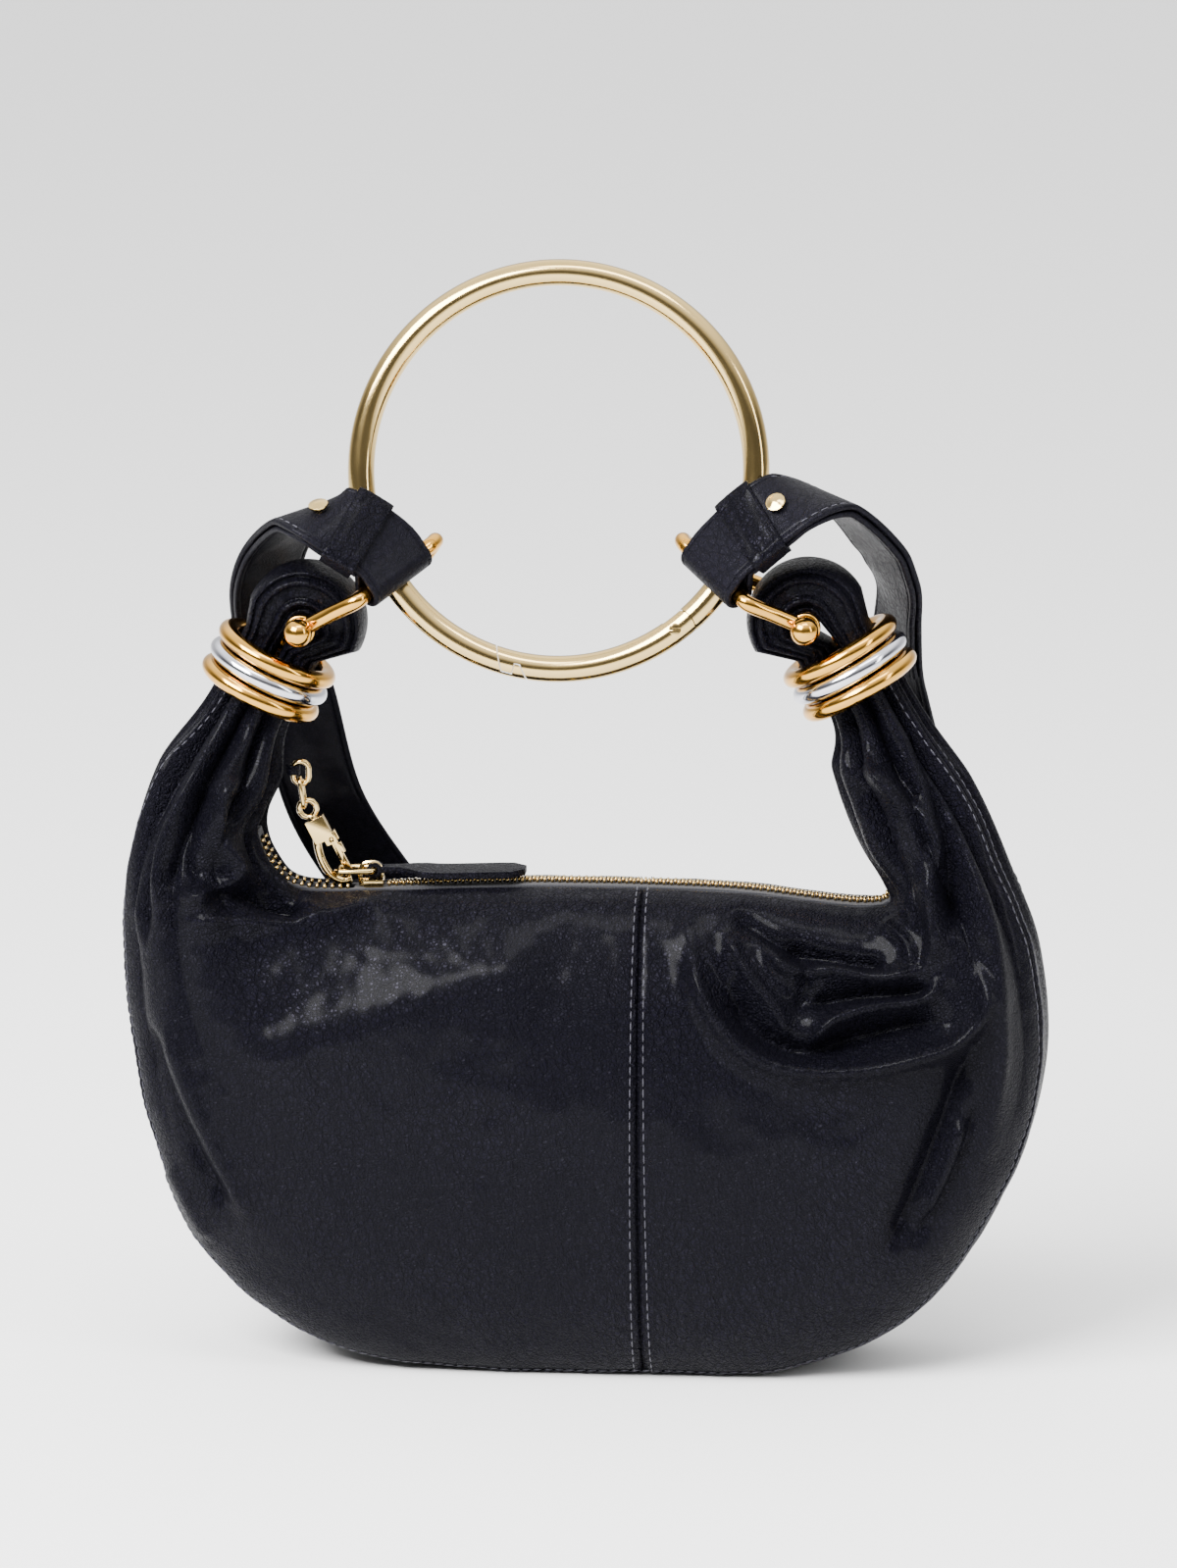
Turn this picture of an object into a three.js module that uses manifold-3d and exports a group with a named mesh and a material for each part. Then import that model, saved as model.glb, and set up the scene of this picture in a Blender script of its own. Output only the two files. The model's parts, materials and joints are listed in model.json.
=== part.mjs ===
// A small leather hobo bag with a metal ring handle, in millimetres, +Z up.
// The front faces -Y and the origin lies in the middle of the flat under the bag.
import * as THREE from "three";
import { mergeVertices } from "three/addons/utils/BufferGeometryUtils.js";
import Module from "manifold-3d";

const wasm = await Module();
wasm.setup();

// Leather body
const BAG_WIDTH = 286;
const HORN_HEIGHT = 217;
const BAG_DEPTH = 84;
const WALL = 2;
const SEAM_GAP = 0.3;
const HORN_RADIUS = 13.3;
const MOUTH_WIDTH = 14;
const PLEAT_DEPTH = 3.2;
const PLEATS_PER_PANEL = 4;
const FOLD_HEIGHT = 5;

// Ring handle and its gate
const RING_DIAMETER = 130;
const RING_ROD = 8.2;
const RING_LEAN = 12;
const RING_LIFT = 62.9;
const GATE_PIN_ANGLE = -52.4;
const GATE_KNUCKLE = 6;
const TONGUE_THICKNESS = 2.6;
const PIN_DIAMETER = 2.4;
const PIN_HEAD = 3.8;
const FIT_GAP = 0.3;

// Collars, shackles and gathered loops
const COLLAR_DIAMETER = 39.5;
const COLLAR_WIDTH = 6;
const COLLAR_GAP = 0.35;
const SHACKLE_ROD = 5;
const BALL_DIAMETER = 8.8;
const EAR_THICKNESS = 3;
const LOOP_DEPTH = 25;
const LOOP_THICKNESS = 16;
const LOOP_PLEATS = 5;

// Shoulder strap
const STRAP_WIDTH = 25;
const STRAP_THICKNESS = 2;
const KEEPER_WALL = 1;
const RIVET_DIAMETER = 6.2;

// Zip and clip
const TAPE_THICKNESS = 1.4;
const CHAIN_WIDTH = 4.6;
const SLOT_WIDTH = 5.4;
const SLIDER_LENGTH = 8;
const PULL_LENGTH = 46;
const PULL_WIDTH = 14;
const HOOK_LENGTH = 27;
const WIRE = 1.8;

const NAVY = "#1c1c24";
const GOLD = "#d9a93e";
const PALE_GOLD = "#d8bb7c";
const SILVER = "#c9c9d4";

const vec = (x, y, z) => new THREE.Vector3(x, y, z);
const radians = THREE.MathUtils.degToRad;
const HALF_WIDTH = BAG_WIDTH / 2;
const HALF_DEPTH = BAG_DEPTH / 2;

// Sections of the body from the left horn round to the right one. Each runs from a point on the
// inner edge to one on the outer edge. x is a share of HALF_WIDTH, z of HORN_HEIGHT, depth of
// HALF_DEPTH; round is 1 where the section is a plain oval and 0 where it has the pouch's form.
const SECTIONS = [
  { outX: -0.773, outZ: 1.023, inX: -0.606, inZ: 0.968, depth: 0.317, round: 1 },
  { outX: -0.813, outZ: 0.982, inX: -0.631, inZ: 0.923, depth: 0.36, round: 1 },
  { outX: -0.935, outZ: 0.857, inX: -0.664, inZ: 0.836, depth: 0.56, round: 0.85 },
  { outX: -1.0, outZ: 0.705, inX: -0.71, inZ: 0.776, depth: 0.72, round: 0.6 },
  { outX: -1.0, outZ: 0.544, inX: -0.678, inZ: 0.714, depth: 0.81, round: 0.45 },
  { outX: -0.951, outZ: 0.35, inX: -0.615, inZ: 0.687, depth: 0.88, round: 0.35 },
  { outX: -0.825, outZ: 0.155, inX: -0.462, inZ: 0.687, depth: 0.94, round: 0.2 },
  { outX: -0.56, outZ: 0.03, inX: -0.28, inZ: 0.694, depth: 0.98, round: 0.05 },
  { outX: -0.24, outZ: 0, inX: -0.084, inZ: 0.698, depth: 1, round: 0 },
  { outX: 0.14, outZ: 0, inX: 0.126, inZ: 0.698, depth: 1, round: 0 },
  { outX: 0.46, outZ: 0.008, inX: 0.336, inZ: 0.694, depth: 0.98, round: 0.05 },
  { outX: 0.734, outZ: 0.092, inX: 0.503, inZ: 0.682, depth: 0.94, round: 0.2 },
  { outX: 0.923, outZ: 0.272, inX: 0.601, inZ: 0.677, depth: 0.88, round: 0.35 },
  { outX: 1.0, outZ: 0.447, inX: 0.654, inZ: 0.684, depth: 0.81, round: 0.45 },
  { outX: 0.985, outZ: 0.61, inX: 0.64, inZ: 0.71, depth: 0.74, round: 0.6 },
  { outX: 0.92, outZ: 0.73, inX: 0.58, inZ: 0.774, depth: 0.64, round: 0.75 },
  { outX: 0.835, outZ: 0.855, inX: 0.53, inZ: 0.866, depth: 0.5, round: 0.9 },
  { outX: 0.692, outZ: 1.006, inX: 0.517, inZ: 0.939, depth: 0.36, round: 1 },
  { outX: 0.647, outZ: 1.045, inX: 0.487, inZ: 0.983, depth: 0.317, round: 1 },
];

// Half of the pouch's section, from the mouth to the middle of the bottom strip. reach is a share
// of the section's length, bulge a share of its depth.
const PROFILE = [
  { reach: 0, bulge: 0 },
  { reach: 0.03, bulge: 0.3 },
  { reach: 0.12, bulge: 0.6 },
  { reach: 0.27, bulge: 0.85 },
  { reach: 0.46, bulge: 0.98 },
  { reach: 0.66, bulge: 1 },
  { reach: 0.84, bulge: 0.92 },
  { reach: 0.96, bulge: 0.74 },
  { reach: 1, bulge: 0.5 },
  { reach: 1, bulge: 0 },
];
const GUSSET_SHARE = 0.16; // part of each half section that the strip covers

// Folds and dents of the front: a curve through three points in shares of HALF_WIDTH and
// HORN_HEIGHT, its height as a share of FOLD_HEIGHT and its width as a share of HALF_WIDTH.
const FOLDS = [
  { ax: 0.675, az: 0.986, bx: 0.85, bz: 0.776, cx: 0.93, cz: 0.536, height: 0.5, width: 0.045 },
  { ax: 0.603, az: 0.892, bx: 0.775, bz: 0.74, cx: 0.749, cz: 0.574, height: 1, width: 0.06 },
  { ax: 0.234, az: 0.55, bx: 0.51, bz: 0.45, cx: 0.859, cz: 0.538, height: 0.9, width: 0.07 },
  { ax: 0.518, az: 0.582, bx: 0.62, bz: 0.6, cx: 0.73, cz: 0.585, height: 0.6, width: 0.04 },
  { ax: 0.376, az: 0.676, bx: 0.49, bz: 0.61, cx: 0.452, cz: 0.47, height: 0.6, width: 0.06 },
  { ax: 0.493, az: 0.552, bx: 0.61, bz: 0.56, cx: 0.72, cz: 0.553, height: -0.9, width: 0.045 },
  { ax: 0.478, az: 0.47, bx: 0.64, bz: 0.505, cx: 0.8, cz: 0.52, height: -0.5, width: 0.04 },
  { ax: 0.796, az: 0.79, bx: 0.85, bz: 0.603, cx: 0.874, cz: 0.431, height: -1.1, width: 0.055 },
  { ax: 0.89, az: 0.484, bx: 0.838, bz: 0.317, cx: 0.69, cz: 0.107, height: -1.1, width: 0.06 },
  { ax: -0.713, az: 0.952, bx: -0.87, bz: 0.8, cx: -0.897, cz: 0.631, height: 0.6, width: 0.045 },
  { ax: -0.766, az: 0.845, bx: -0.745, bz: 0.75, cx: -0.863, cz: 0.656, height: 0.8, width: 0.05 },
  { ax: -0.853, az: 0.673, bx: -0.73, bz: 0.64, cx: -0.636, cz: 0.659, height: -1, width: 0.055 },
  { ax: -0.957, az: 0.585, bx: -0.815, bz: 0.334, cx: -0.685, cz: 0.142, height: 0.5, width: 0.05 },
  { ax: -0.95, az: 0.442, bx: -0.86, bz: 0.28, cx: -0.76, cz: 0.164, height: -1, width: 0.045 },
];

// A value of the named column at a share of the way along a table, smoothly through its rows.
function column(rows, name, share) {
  const last = rows.length - 1;
  const at = Math.min(Math.max(share, 0), 1) * last;
  const i = Math.min(Math.floor(at), last - 1);
  const t = at - i;
  const value = (k) => rows[Math.min(Math.max(k, 0), last)][name];
  const [a, b, c, d] = [value(i - 1), value(i), value(i + 1), value(i + 2)];
  return b + 0.5 * t * (c - a + t * (2 * a - 5 * b + 4 * c - d + t * (3 * (b - c) + d - a)));
}

// 0 at low, 1 at high and smooth between, whichever of the two is the larger.
function smooth(low, high, x) {
  const t = THREE.MathUtils.clamp((x - low) / (high - low), 0, 1);
  return t * t * (3 - 2 * t);
}

// The section at u (0 left horn end, 1 right horn end): inner point, outer point, depth, form.
function sectionAt(u) {
  const inner = vec(column(SECTIONS, "inX", u) * HALF_WIDTH, 0, column(SECTIONS, "inZ", u) * HORN_HEIGHT);
  const outer = vec(column(SECTIONS, "outX", u) * HALF_WIDTH, 0, column(SECTIONS, "outZ", u) * HORN_HEIGHT);
  const half = column(SECTIONS, "depth", u) * HALF_DEPTH;
  const round = column(SECTIONS, "round", u);
  const horn = smooth(0.11, 0.05, Math.min(u, 1 - u));
  const middle = inner.clone().add(outer).multiplyScalar(0.5);
  const arm = outer.clone().sub(inner).multiplyScalar(0.5);
  arm.setLength(THREE.MathUtils.lerp(arm.length(), HORN_RADIUS, horn));
  return {
    inner: middle.clone().sub(arm),
    outer: middle.clone().add(arm),
    half: THREE.MathUtils.lerp(half, HORN_RADIUS, horn),
    round: THREE.MathUtils.clamp(round, 0, 1),
  };
}

// How far the zip's mouth has closed at u: 0 along the zip, 1 at the horns.
const mouthShut = (u) => Math.max(smooth(0.17, 0.1, u), smooth(0.76, 0.84, u));

// The body's smooth skin. side is -1 for the front and 1 for the back, w runs from the mouth (0)
// to the middle of the bottom strip (1).
function skin(u, side, w) {
  const { inner, outer, half, round } = sectionAt(u);
  const turn = Math.PI * w;
  const lip = THREE.MathUtils.lerp(MOUTH_WIDTH / 2, 0, mouthShut(u));
  const reach = THREE.MathUtils.lerp(column(PROFILE, "reach", w), (1 - Math.cos(turn)) / 2, round);
  const bulge = THREE.MathUtils.lerp(column(PROFILE, "bulge", w), Math.sin(turn), round);
  const y = bulge * half + lip * (1 - bulge) * smooth(0.5, 0, w);
  const p = inner.clone().lerp(outer, THREE.MathUtils.clamp(reach, 0, 1));
  return vec(p.x, side * (w >= 1 ? 0 : y), p.z);
}

function skinNormal(u, side, w) {
  const step = 0.004;
  const alongU = skin(Math.min(u + step, 1), side, w).sub(skin(Math.max(u - step, 0), side, w));
  const alongW = skin(u, side, Math.min(w + step, 1)).sub(skin(u, side, Math.max(w - step, 0)));
  const n = alongU.cross(alongW).multiplyScalar(side);
  return n.lengthSq() > 0 ? n.normalize() : vec(0, 0, -1);
}

// Distance from a point of the front to a fold's curve, in millimetres in the XZ plane.
function foldDistance(fold, x, z) {
  let best = Infinity;
  const samples = 12;
  for (let i = 0; i <= samples; i++) {
    const t = i / samples;
    const [wa, wb, wc] = [(1 - t) * (1 - 2 * t), 4 * t * (1 - t), t * (2 * t - 1)];
    const fx = (wa * fold.ax + wb * fold.bx + wc * fold.cx) * HALF_WIDTH;
    const fz = (wa * fold.az + wb * fold.bz + wc * fold.cz) * HORN_HEIGHT;
    best = Math.min(best, Math.hypot(x - fx, z - fz));
  }
  return best;
}

// How far the leather stands off the smooth skin: gathers at the horns, folds on the front.
function relief(u, side, w, p) {
  const gather = smooth(0.36, 0.05, Math.min(u, 1 - u));
  const seam = smooth(0, 0.08, w) * smooth(1, 0.86, w);
  const pleat = 0.5 - 0.5 * Math.cos((2 * Math.PI * PLEATS_PER_PANEL * w) / (1 - GUSSET_SHARE));
  let off = -PLEAT_DEPTH * gather * pleat * seam;
  const belowCollars = smooth(0.055, 0.12, Math.min(u, 1 - u));
  if (side < 0) {
    for (const fold of FOLDS) {
      const d = foldDistance(fold, p.x, p.z) / (fold.width * HALF_WIDTH);
      off += fold.height * FOLD_HEIGHT * Math.exp(-d * d) * seam * belowCollars;
    }
  }
  return off;
}

function skinPoint(u, side, w, inward) {
  const p = skin(u, side, w);
  const n = skinNormal(u, side, w);
  p.addScaledVector(n, relief(u, side, w, p) - inward);
  p.z = Math.max(p.z, inward);
  return p;
}

// A closed solid from two matching grids of points, the outer one and the inner one.
function wallSolid(outer, inner) {
  const rows = outer.length;
  const cols = outer[0].length;
  const positions = [];
  const index = [];
  for (const grid of [outer, inner]) for (const row of grid) for (const p of row) positions.push(p.x, p.y, p.z);
  const id = (layer, i, j) => layer * rows * cols + i * cols + j;
  const quad = (a, b, c, d) => index.push(a, b, c, a, c, d);
  for (let i = 0; i < rows - 1; i++) {
    for (let j = 0; j < cols - 1; j++) {
      quad(id(0, i, j), id(0, i + 1, j), id(0, i + 1, j + 1), id(0, i, j + 1));
      quad(id(1, i, j), id(1, i, j + 1), id(1, i + 1, j + 1), id(1, i + 1, j));
    }
  }
  for (let i = 0; i < rows - 1; i++) {
    quad(id(0, i, 0), id(1, i, 0), id(1, i + 1, 0), id(0, i + 1, 0));
    quad(id(0, i, cols - 1), id(0, i + 1, cols - 1), id(1, i + 1, cols - 1), id(1, i, cols - 1));
  }
  for (let j = 0; j < cols - 1; j++) {
    quad(id(0, 0, j), id(0, 0, j + 1), id(1, 0, j + 1), id(1, 0, j));
    quad(id(0, rows - 1, j), id(1, rows - 1, j), id(1, rows - 1, j + 1), id(0, rows - 1, j + 1));
  }
  return outward(positions, index);
}

// A closed solid through rings of points, each ring with as many points, capped at both ends.
function loft(rings) {
  const n = rings[0].length;
  const positions = rings.flatMap((ring) => ring.flatMap((p) => [p.x, p.y, p.z]));
  const index = [];
  for (let k = 0; k < rings.length - 1; k++) {
    for (let i = 0; i < n; i++) {
      const j = (i + 1) % n;
      index.push(k * n + i, k * n + j, (k + 1) * n + j, k * n + i, (k + 1) * n + j, (k + 1) * n + i);
    }
  }
  for (const k of [0, rings.length - 1]) {
    const middle = positions.length / 3;
    const c = rings[k].reduce((sum, p) => sum.add(p), vec(0, 0, 0)).divideScalar(n);
    positions.push(c.x, c.y, c.z);
    for (let i = 0; i < n; i++) {
      const [a, b] = [k * n + i, k * n + ((i + 1) % n)];
      index.push(...(k ? [middle, a, b] : [middle, b, a]));
    }
  }
  return outward(positions, index);
}

// A geometry from points and triangles, turned so that its faces point out.
function outward(positions, index) {
  let volume = 0;
  const at = (i) => vec(positions[3 * i], positions[3 * i + 1], positions[3 * i + 2]);
  for (let i = 0; i < index.length; i += 3) {
    volume += at(index[i]).dot(at(index[i + 1]).cross(at(index[i + 2])));
  }
  if (volume < 0) index.reverse();
  const g = new THREE.BufferGeometry();
  g.setAttribute("position", new THREE.Float32BufferAttribute(positions, 3));
  g.setIndex(index);
  return g;
}

function toSolid(geometry) {
  const g = geometry.clone();
  g.deleteAttribute("normal");
  g.deleteAttribute("uv");
  const merged = mergeVertices(g, 1e-4);
  return new wasm.Manifold(
    new wasm.Mesh({
      numProp: 3,
      vertProperties: new Float32Array(merged.attributes.position.array),
      triVerts: new Uint32Array(merged.index.array),
    }),
  );
}

function fromSolid(solid) {
  const m = solid.getMesh();
  const g = new THREE.BufferGeometry();
  g.setAttribute("position", new THREE.BufferAttribute(m.vertProperties, 3));
  g.setIndex(new THREE.BufferAttribute(m.triVerts, 1));
  return g;
}

const joined = (...parts) => fromSolid(parts.map(toSolid).reduce((a, b) => a.add(b)));
const cutBy = (body, ...tools) => fromSolid(tools.map(toSolid).reduce((a, b) => a.subtract(b), toSolid(body)));

// A round rod along a smooth curve through points.
function rod(points, diameter, sides = 8, steps = 24, closed = false) {
  const curve = new THREE.CatmullRomCurve3(points, closed, "centripetal");
  const section = new THREE.Shape();
  for (let i = 0; i < sides; i++) {
    const a = (2 * Math.PI * i) / sides;
    section[i ? "lineTo" : "moveTo"]((Math.cos(a) * diameter) / 2, (Math.sin(a) * diameter) / 2);
  }
  return new THREE.ExtrudeGeometry(section, { steps, extrudePath: curve, bevelEnabled: false });
}

// A cylinder or cone between two points.
function bar(a, b, diameter, sides = 12, endDiameter = diameter) {
  const g = new THREE.CylinderGeometry(endDiameter / 2, diameter / 2, a.distanceTo(b), sides);
  const turn = new THREE.Quaternion().setFromUnitVectors(vec(0, 1, 0), b.clone().sub(a).normalize());
  g.applyQuaternion(turn);
  g.translate(...a.clone().add(b).multiplyScalar(0.5).toArray());
  return g;
}

function ball(centre, diameter, sides = 12) {
  const g = new THREE.SphereGeometry(diameter / 2, sides, Math.round(sides * 0.6));
  g.translate(centre.x, centre.y, centre.z);
  return g;
}

// A block of size (along, across, thick) on the given axes.
function block(centre, along, across, size) {
  const g = new THREE.BoxGeometry(size.x, size.y, size.z);
  const a = along.clone().normalize();
  const n = a.clone().cross(across).normalize();
  g.applyMatrix4(new THREE.Matrix4().makeBasis(a, n.clone().cross(a), n));
  g.translate(centre.x, centre.y, centre.z);
  return g;
}

const bag = new THREE.Group();
const MATERIALS = {
  leather: { color: NAVY, roughness: 0.35, metalness: 0 },
  gold: { color: GOLD, roughness: 0.15, metalness: 1 },
  paleGold: { color: PALE_GOLD, roughness: 0.12, metalness: 1 },
  silver: { color: SILVER, roughness: 0.15, metalness: 1 },
};
function add(name, geometry, finish) {
  const mesh = new THREE.Mesh(geometry, new THREE.MeshStandardMaterial(MATERIALS[finish]));
  mesh.name = name;
  bag.add(mesh);
}

// Body panels: the four leather panels and the strip round the outside.
const U_STEPS = 48;
const CENTRE_SEAM = 0.5;
function spaced(from, to, count) {
  return Array.from({ length: count + 1 }, (_, i) => from + ((to - from) * i) / count);
}
function panel(side, us, wFrom, wTo, wSteps) {
  const grid = (inward) =>
    us.map((u) => {
      const girth = skin(u, side, 0.5).distanceTo(skin(u, side, 0.45)) / 0.05;
      const gap = SEAM_GAP / 2 / girth;
      return spaced(wFrom + gap, wTo - gap, wSteps).map((w) => skinPoint(u, side, w, inward));
    });
  return wallSolid(grid(0), grid(WALL));
}
const seamShare = SEAM_GAP / 2 / (2.2 * BAG_WIDTH);
const leftUs = spaced(0, CENTRE_SEAM - seamShare, U_STEPS / 2);
const rightUs = spaced(CENTRE_SEAM + seamShare, 1, U_STEPS / 2);
const SEAM_W = 1 - GUSSET_SHARE;
add("front_left", panel(-1, leftUs, 0, SEAM_W, 14), "leather");
add("front_right", panel(-1, rightUs, 0, SEAM_W, 14), "leather");
add("back_left", panel(1, leftUs, 0, SEAM_W, 8), "leather");
add("back_right", panel(1, rightUs, 0, SEAM_W, 8), "leather");

// The strip runs across the middle, so its columns go from the front side to the back side.
function gusset() {
  const us = spaced(0, 1, U_STEPS);
  const columns = [];
  for (const w of spaced(0, 1, 2)) columns.push({ side: -1, w });
  for (const w of [0.5, 0]) columns.push({ side: 1, w });
  const grid = (inward) =>
    us.map((u) => {
      const girth = skin(u, -1, 0.5).distanceTo(skin(u, -1, 0.45)) / 0.05;
      const gap = SEAM_GAP / 2 / girth;
      return columns.map(({ side, w }) => skinPoint(u, side, SEAM_W + gap + (1 - SEAM_W - gap) * w, inward));
    });
  return wallSolid(grid(0), grid(WALL));
}
add("gusset", gusset(), "leather");

// The two horns: where each ends, the way it points, and the way out to its side.
function hornAt(u) {
  const { inner, outer } = sectionAt(u);
  const across = outer.clone().sub(inner).normalize();
  const up = vec(across.z, 0, -across.x).multiplyScalar(u < 0.5 ? 1 : -1);
  if (up.z < 0) up.negate();
  return { end: inner.clone().add(outer).multiplyScalar(0.5), up, out: across, side: u < 0.5 ? -1 : 1 };
}
const HORNS = { left: hornAt(0), right: hornAt(1) };

// Three collars hug each horn end.
function collar(horn, place) {
  const profile = [];
  const sides = 8;
  const thick = COLLAR_DIAMETER / 2 - HORN_RADIUS - FIT_GAP;
  for (let i = 0; i <= sides; i++) {
    const a = (2 * Math.PI * i) / sides;
    profile.push(
      new THREE.Vector2(
        COLLAR_DIAMETER / 2 - thick / 2 + (Math.cos(a) * thick) / 2,
        (Math.sin(a) * (COLLAR_WIDTH - COLLAR_GAP)) / 2,
      ),
    );
  }
  const g = new THREE.LatheGeometry(profile, 22);
  g.applyQuaternion(new THREE.Quaternion().setFromUnitVectors(vec(0, 1, 0), horn.up));
  const c = horn.end.clone().addScaledVector(horn.up, place * COLLAR_WIDTH);
  g.translate(c.x, c.y, c.z);
  return g;
}
for (const [name, horn] of Object.entries(HORNS)) {
  add(`collar_${name}_1`, collar(horn, 1), "gold");
  add(`collar_${name}_2`, collar(horn, 0), "silver");
  add(`collar_${name}_3`, collar(horn, -1), "gold");
}

// A gathered loop: a pleated bundle that leaves the horn, goes over the pin and back in.
const PIN_LIFT = 19.5;
const PIN_INSET = 3.5;
const pinOf = (horn) =>
  horn.end.clone().addScaledVector(horn.up, PIN_LIFT).addScaledVector(horn.out, -PIN_INSET);
const LOOP_HOLE = SHACKLE_ROD / 2 + FIT_GAP;
function gatheredLoop(horn) {
  const pin = pinOf(horn);
  const bend = LOOP_HOLE + LOOP_THICKNESS / 2;
  const root = horn.end.clone().addScaledVector(horn.up, FIT_GAP);
  const leg = HORN_RADIUS / 2;
  const arc = 9;
  const collarTop = 1.7 * COLLAR_WIDTH;
  // from the horn up the outer leg, over the pin, and down the inner leg
  const stations = [
    { way: 1, lift: 0 },
    { way: 1, lift: collarTop },
    ...spaced(0, 180, arc).map((degrees) => ({ angle: radians(degrees) })),
    { way: -1, lift: collarTop },
    { way: -1, lift: 0 },
  ];
  const rings = stations.map((s) => {
    const out = horn.out;
    let radial;
    let centre;
    let thick;
    let depth;
    if (s.angle === undefined) {
      radial = out.clone().multiplyScalar(s.way);
      centre = root.clone().addScaledVector(horn.up, s.lift).addScaledVector(radial, leg);
      thick = HORN_RADIUS - 4 * FIT_GAP;
      depth = HORN_RADIUS * 1.55;
    } else {
      radial = out.clone().multiplyScalar(Math.cos(s.angle)).addScaledVector(horn.up, Math.sin(s.angle));
      centre = pin.clone().addScaledVector(radial, bend);
      thick = LOOP_THICKNESS;
      depth = LOOP_DEPTH;
    }
    const faces = 5 * LOOP_PLEATS;
    const ring = [];
    for (let i = 0; i < faces; i++) {
      const a = (2 * Math.PI * i) / faces;
      const crease = 1 - 0.13 * (0.5 - 0.5 * Math.cos(2 * LOOP_PLEATS * a));
      const across = (Math.cos(a) * thick) / 2;
      const out2 = ((Math.sin(a) * depth) / 2) * crease;
      ring.push(centre.clone().addScaledVector(radial, across).add(vec(0, -out2, 0)));
    }
    return ring;
  });
  return loft(rings);
}
for (const [name, horn] of Object.entries(HORNS)) add(`gathered_loop_${name}`, gatheredLoop(horn), "leather");

// Ring handle: it leans back, so its plane holds X and the leaning upright.
const ringUp = vec(0, Math.sin(radians(RING_LEAN)), Math.cos(radians(RING_LEAN)));
const ringFront = vec(0, -Math.cos(radians(RING_LEAN)), Math.sin(radians(RING_LEAN)));
const RING_RADIUS = (RING_DIAMETER - RING_ROD) / 2;
const hornsMiddle = HORNS.left.end.clone().add(HORNS.right.end).multiplyScalar(0.5);
const ringCentre = vec(hornsMiddle.x - 0.5, 6, hornsMiddle.z + RING_LIFT - 2);
const ringPoint = (degrees, radius = RING_RADIUS) =>
  ringCentre
    .clone()
    .add(vec(Math.cos(radians(degrees)) * radius, 0, 0))
    .addScaledVector(ringUp, Math.sin(radians(degrees)) * radius);

// The joint line between the ring and the nose of its gate, from the inner to the outer side.
// radius is a share of the rod's half thickness off the rod's middle; back is the way in which
// the ring's own face backs off.
const NOSE = [
  { degrees: -108.9, radius: -1.3, back: -1 },
  { degrees: -104.6, radius: 0.72, back: -1 },
  { degrees: -101.9, radius: 0.72, back: 1 },
  { degrees: -101.6, radius: -0.06, back: 1 },
  { degrees: -99.8, radius: -0.06, back: -1 },
  { degrees: -96.6, radius: 1.3, back: -1 },
];

// The region of the gate as a flat outline in the ring's plane, thickened through the rod.
function gateRegion(clearance) {
  const turn = (clearance / RING_RADIUS) * (180 / Math.PI);
  const points = NOSE.map(({ degrees, radius, back }) => {
    const a = radians(degrees + back * turn);
    const r = RING_RADIUS + (radius * RING_ROD) / 2 + clearance;
    return new THREE.Vector2(Math.cos(a) * r, Math.sin(a) * r);
  });
  const inside = RING_RADIUS - RING_ROD;
  const outside = RING_RADIUS + RING_ROD;
  const pin = new THREE.Vector2(
    Math.cos(radians(GATE_PIN_ANGLE)) * RING_RADIUS,
    Math.sin(radians(GATE_PIN_ANGLE)) * RING_RADIUS,
  );
  for (const a of spaced(-96.6, GATE_PIN_ANGLE, 6).slice(1)) {
    points.push(new THREE.Vector2(Math.cos(radians(a)) * outside, Math.sin(radians(a)) * outside));
  }
  const knuckle = GATE_KNUCKLE + clearance;
  for (const a of spaced(-60, 60, 6)) {
    const turned = radians(GATE_PIN_ANGLE + 90 + a);
    points.push(pin.clone().add(new THREE.Vector2(Math.cos(turned) * knuckle, Math.sin(turned) * knuckle)));
  }
  for (const a of spaced(GATE_PIN_ANGLE, -108.9, 7)) {
    points.push(new THREE.Vector2(Math.cos(radians(a)) * inside, Math.sin(radians(a)) * inside));
  }
  return ringPrism(points, 2 * RING_ROD);
}

// A flat outline in the ring's plane, thickened to both sides of it.
function ringPrism(points, thick) {
  const g = new THREE.ExtrudeGeometry(new THREE.Shape(points), { depth: thick, bevelEnabled: false });
  g.translate(0, 0, -thick / 2);
  g.applyMatrix4(new THREE.Matrix4().makeBasis(vec(1, 0, 0), ringUp, ringFront));
  g.translate(ringCentre.x, ringCentre.y, ringCentre.z);
  return g;
}

function ringTorus() {
  const g = new THREE.TorusGeometry(RING_RADIUS, RING_ROD / 2, 10, 56);
  g.applyMatrix4(new THREE.Matrix4().makeBasis(vec(1, 0, 0), ringUp, ringFront));
  g.translate(ringCentre.x, ringCentre.y, ringCentre.z);
  return g;
}

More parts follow.
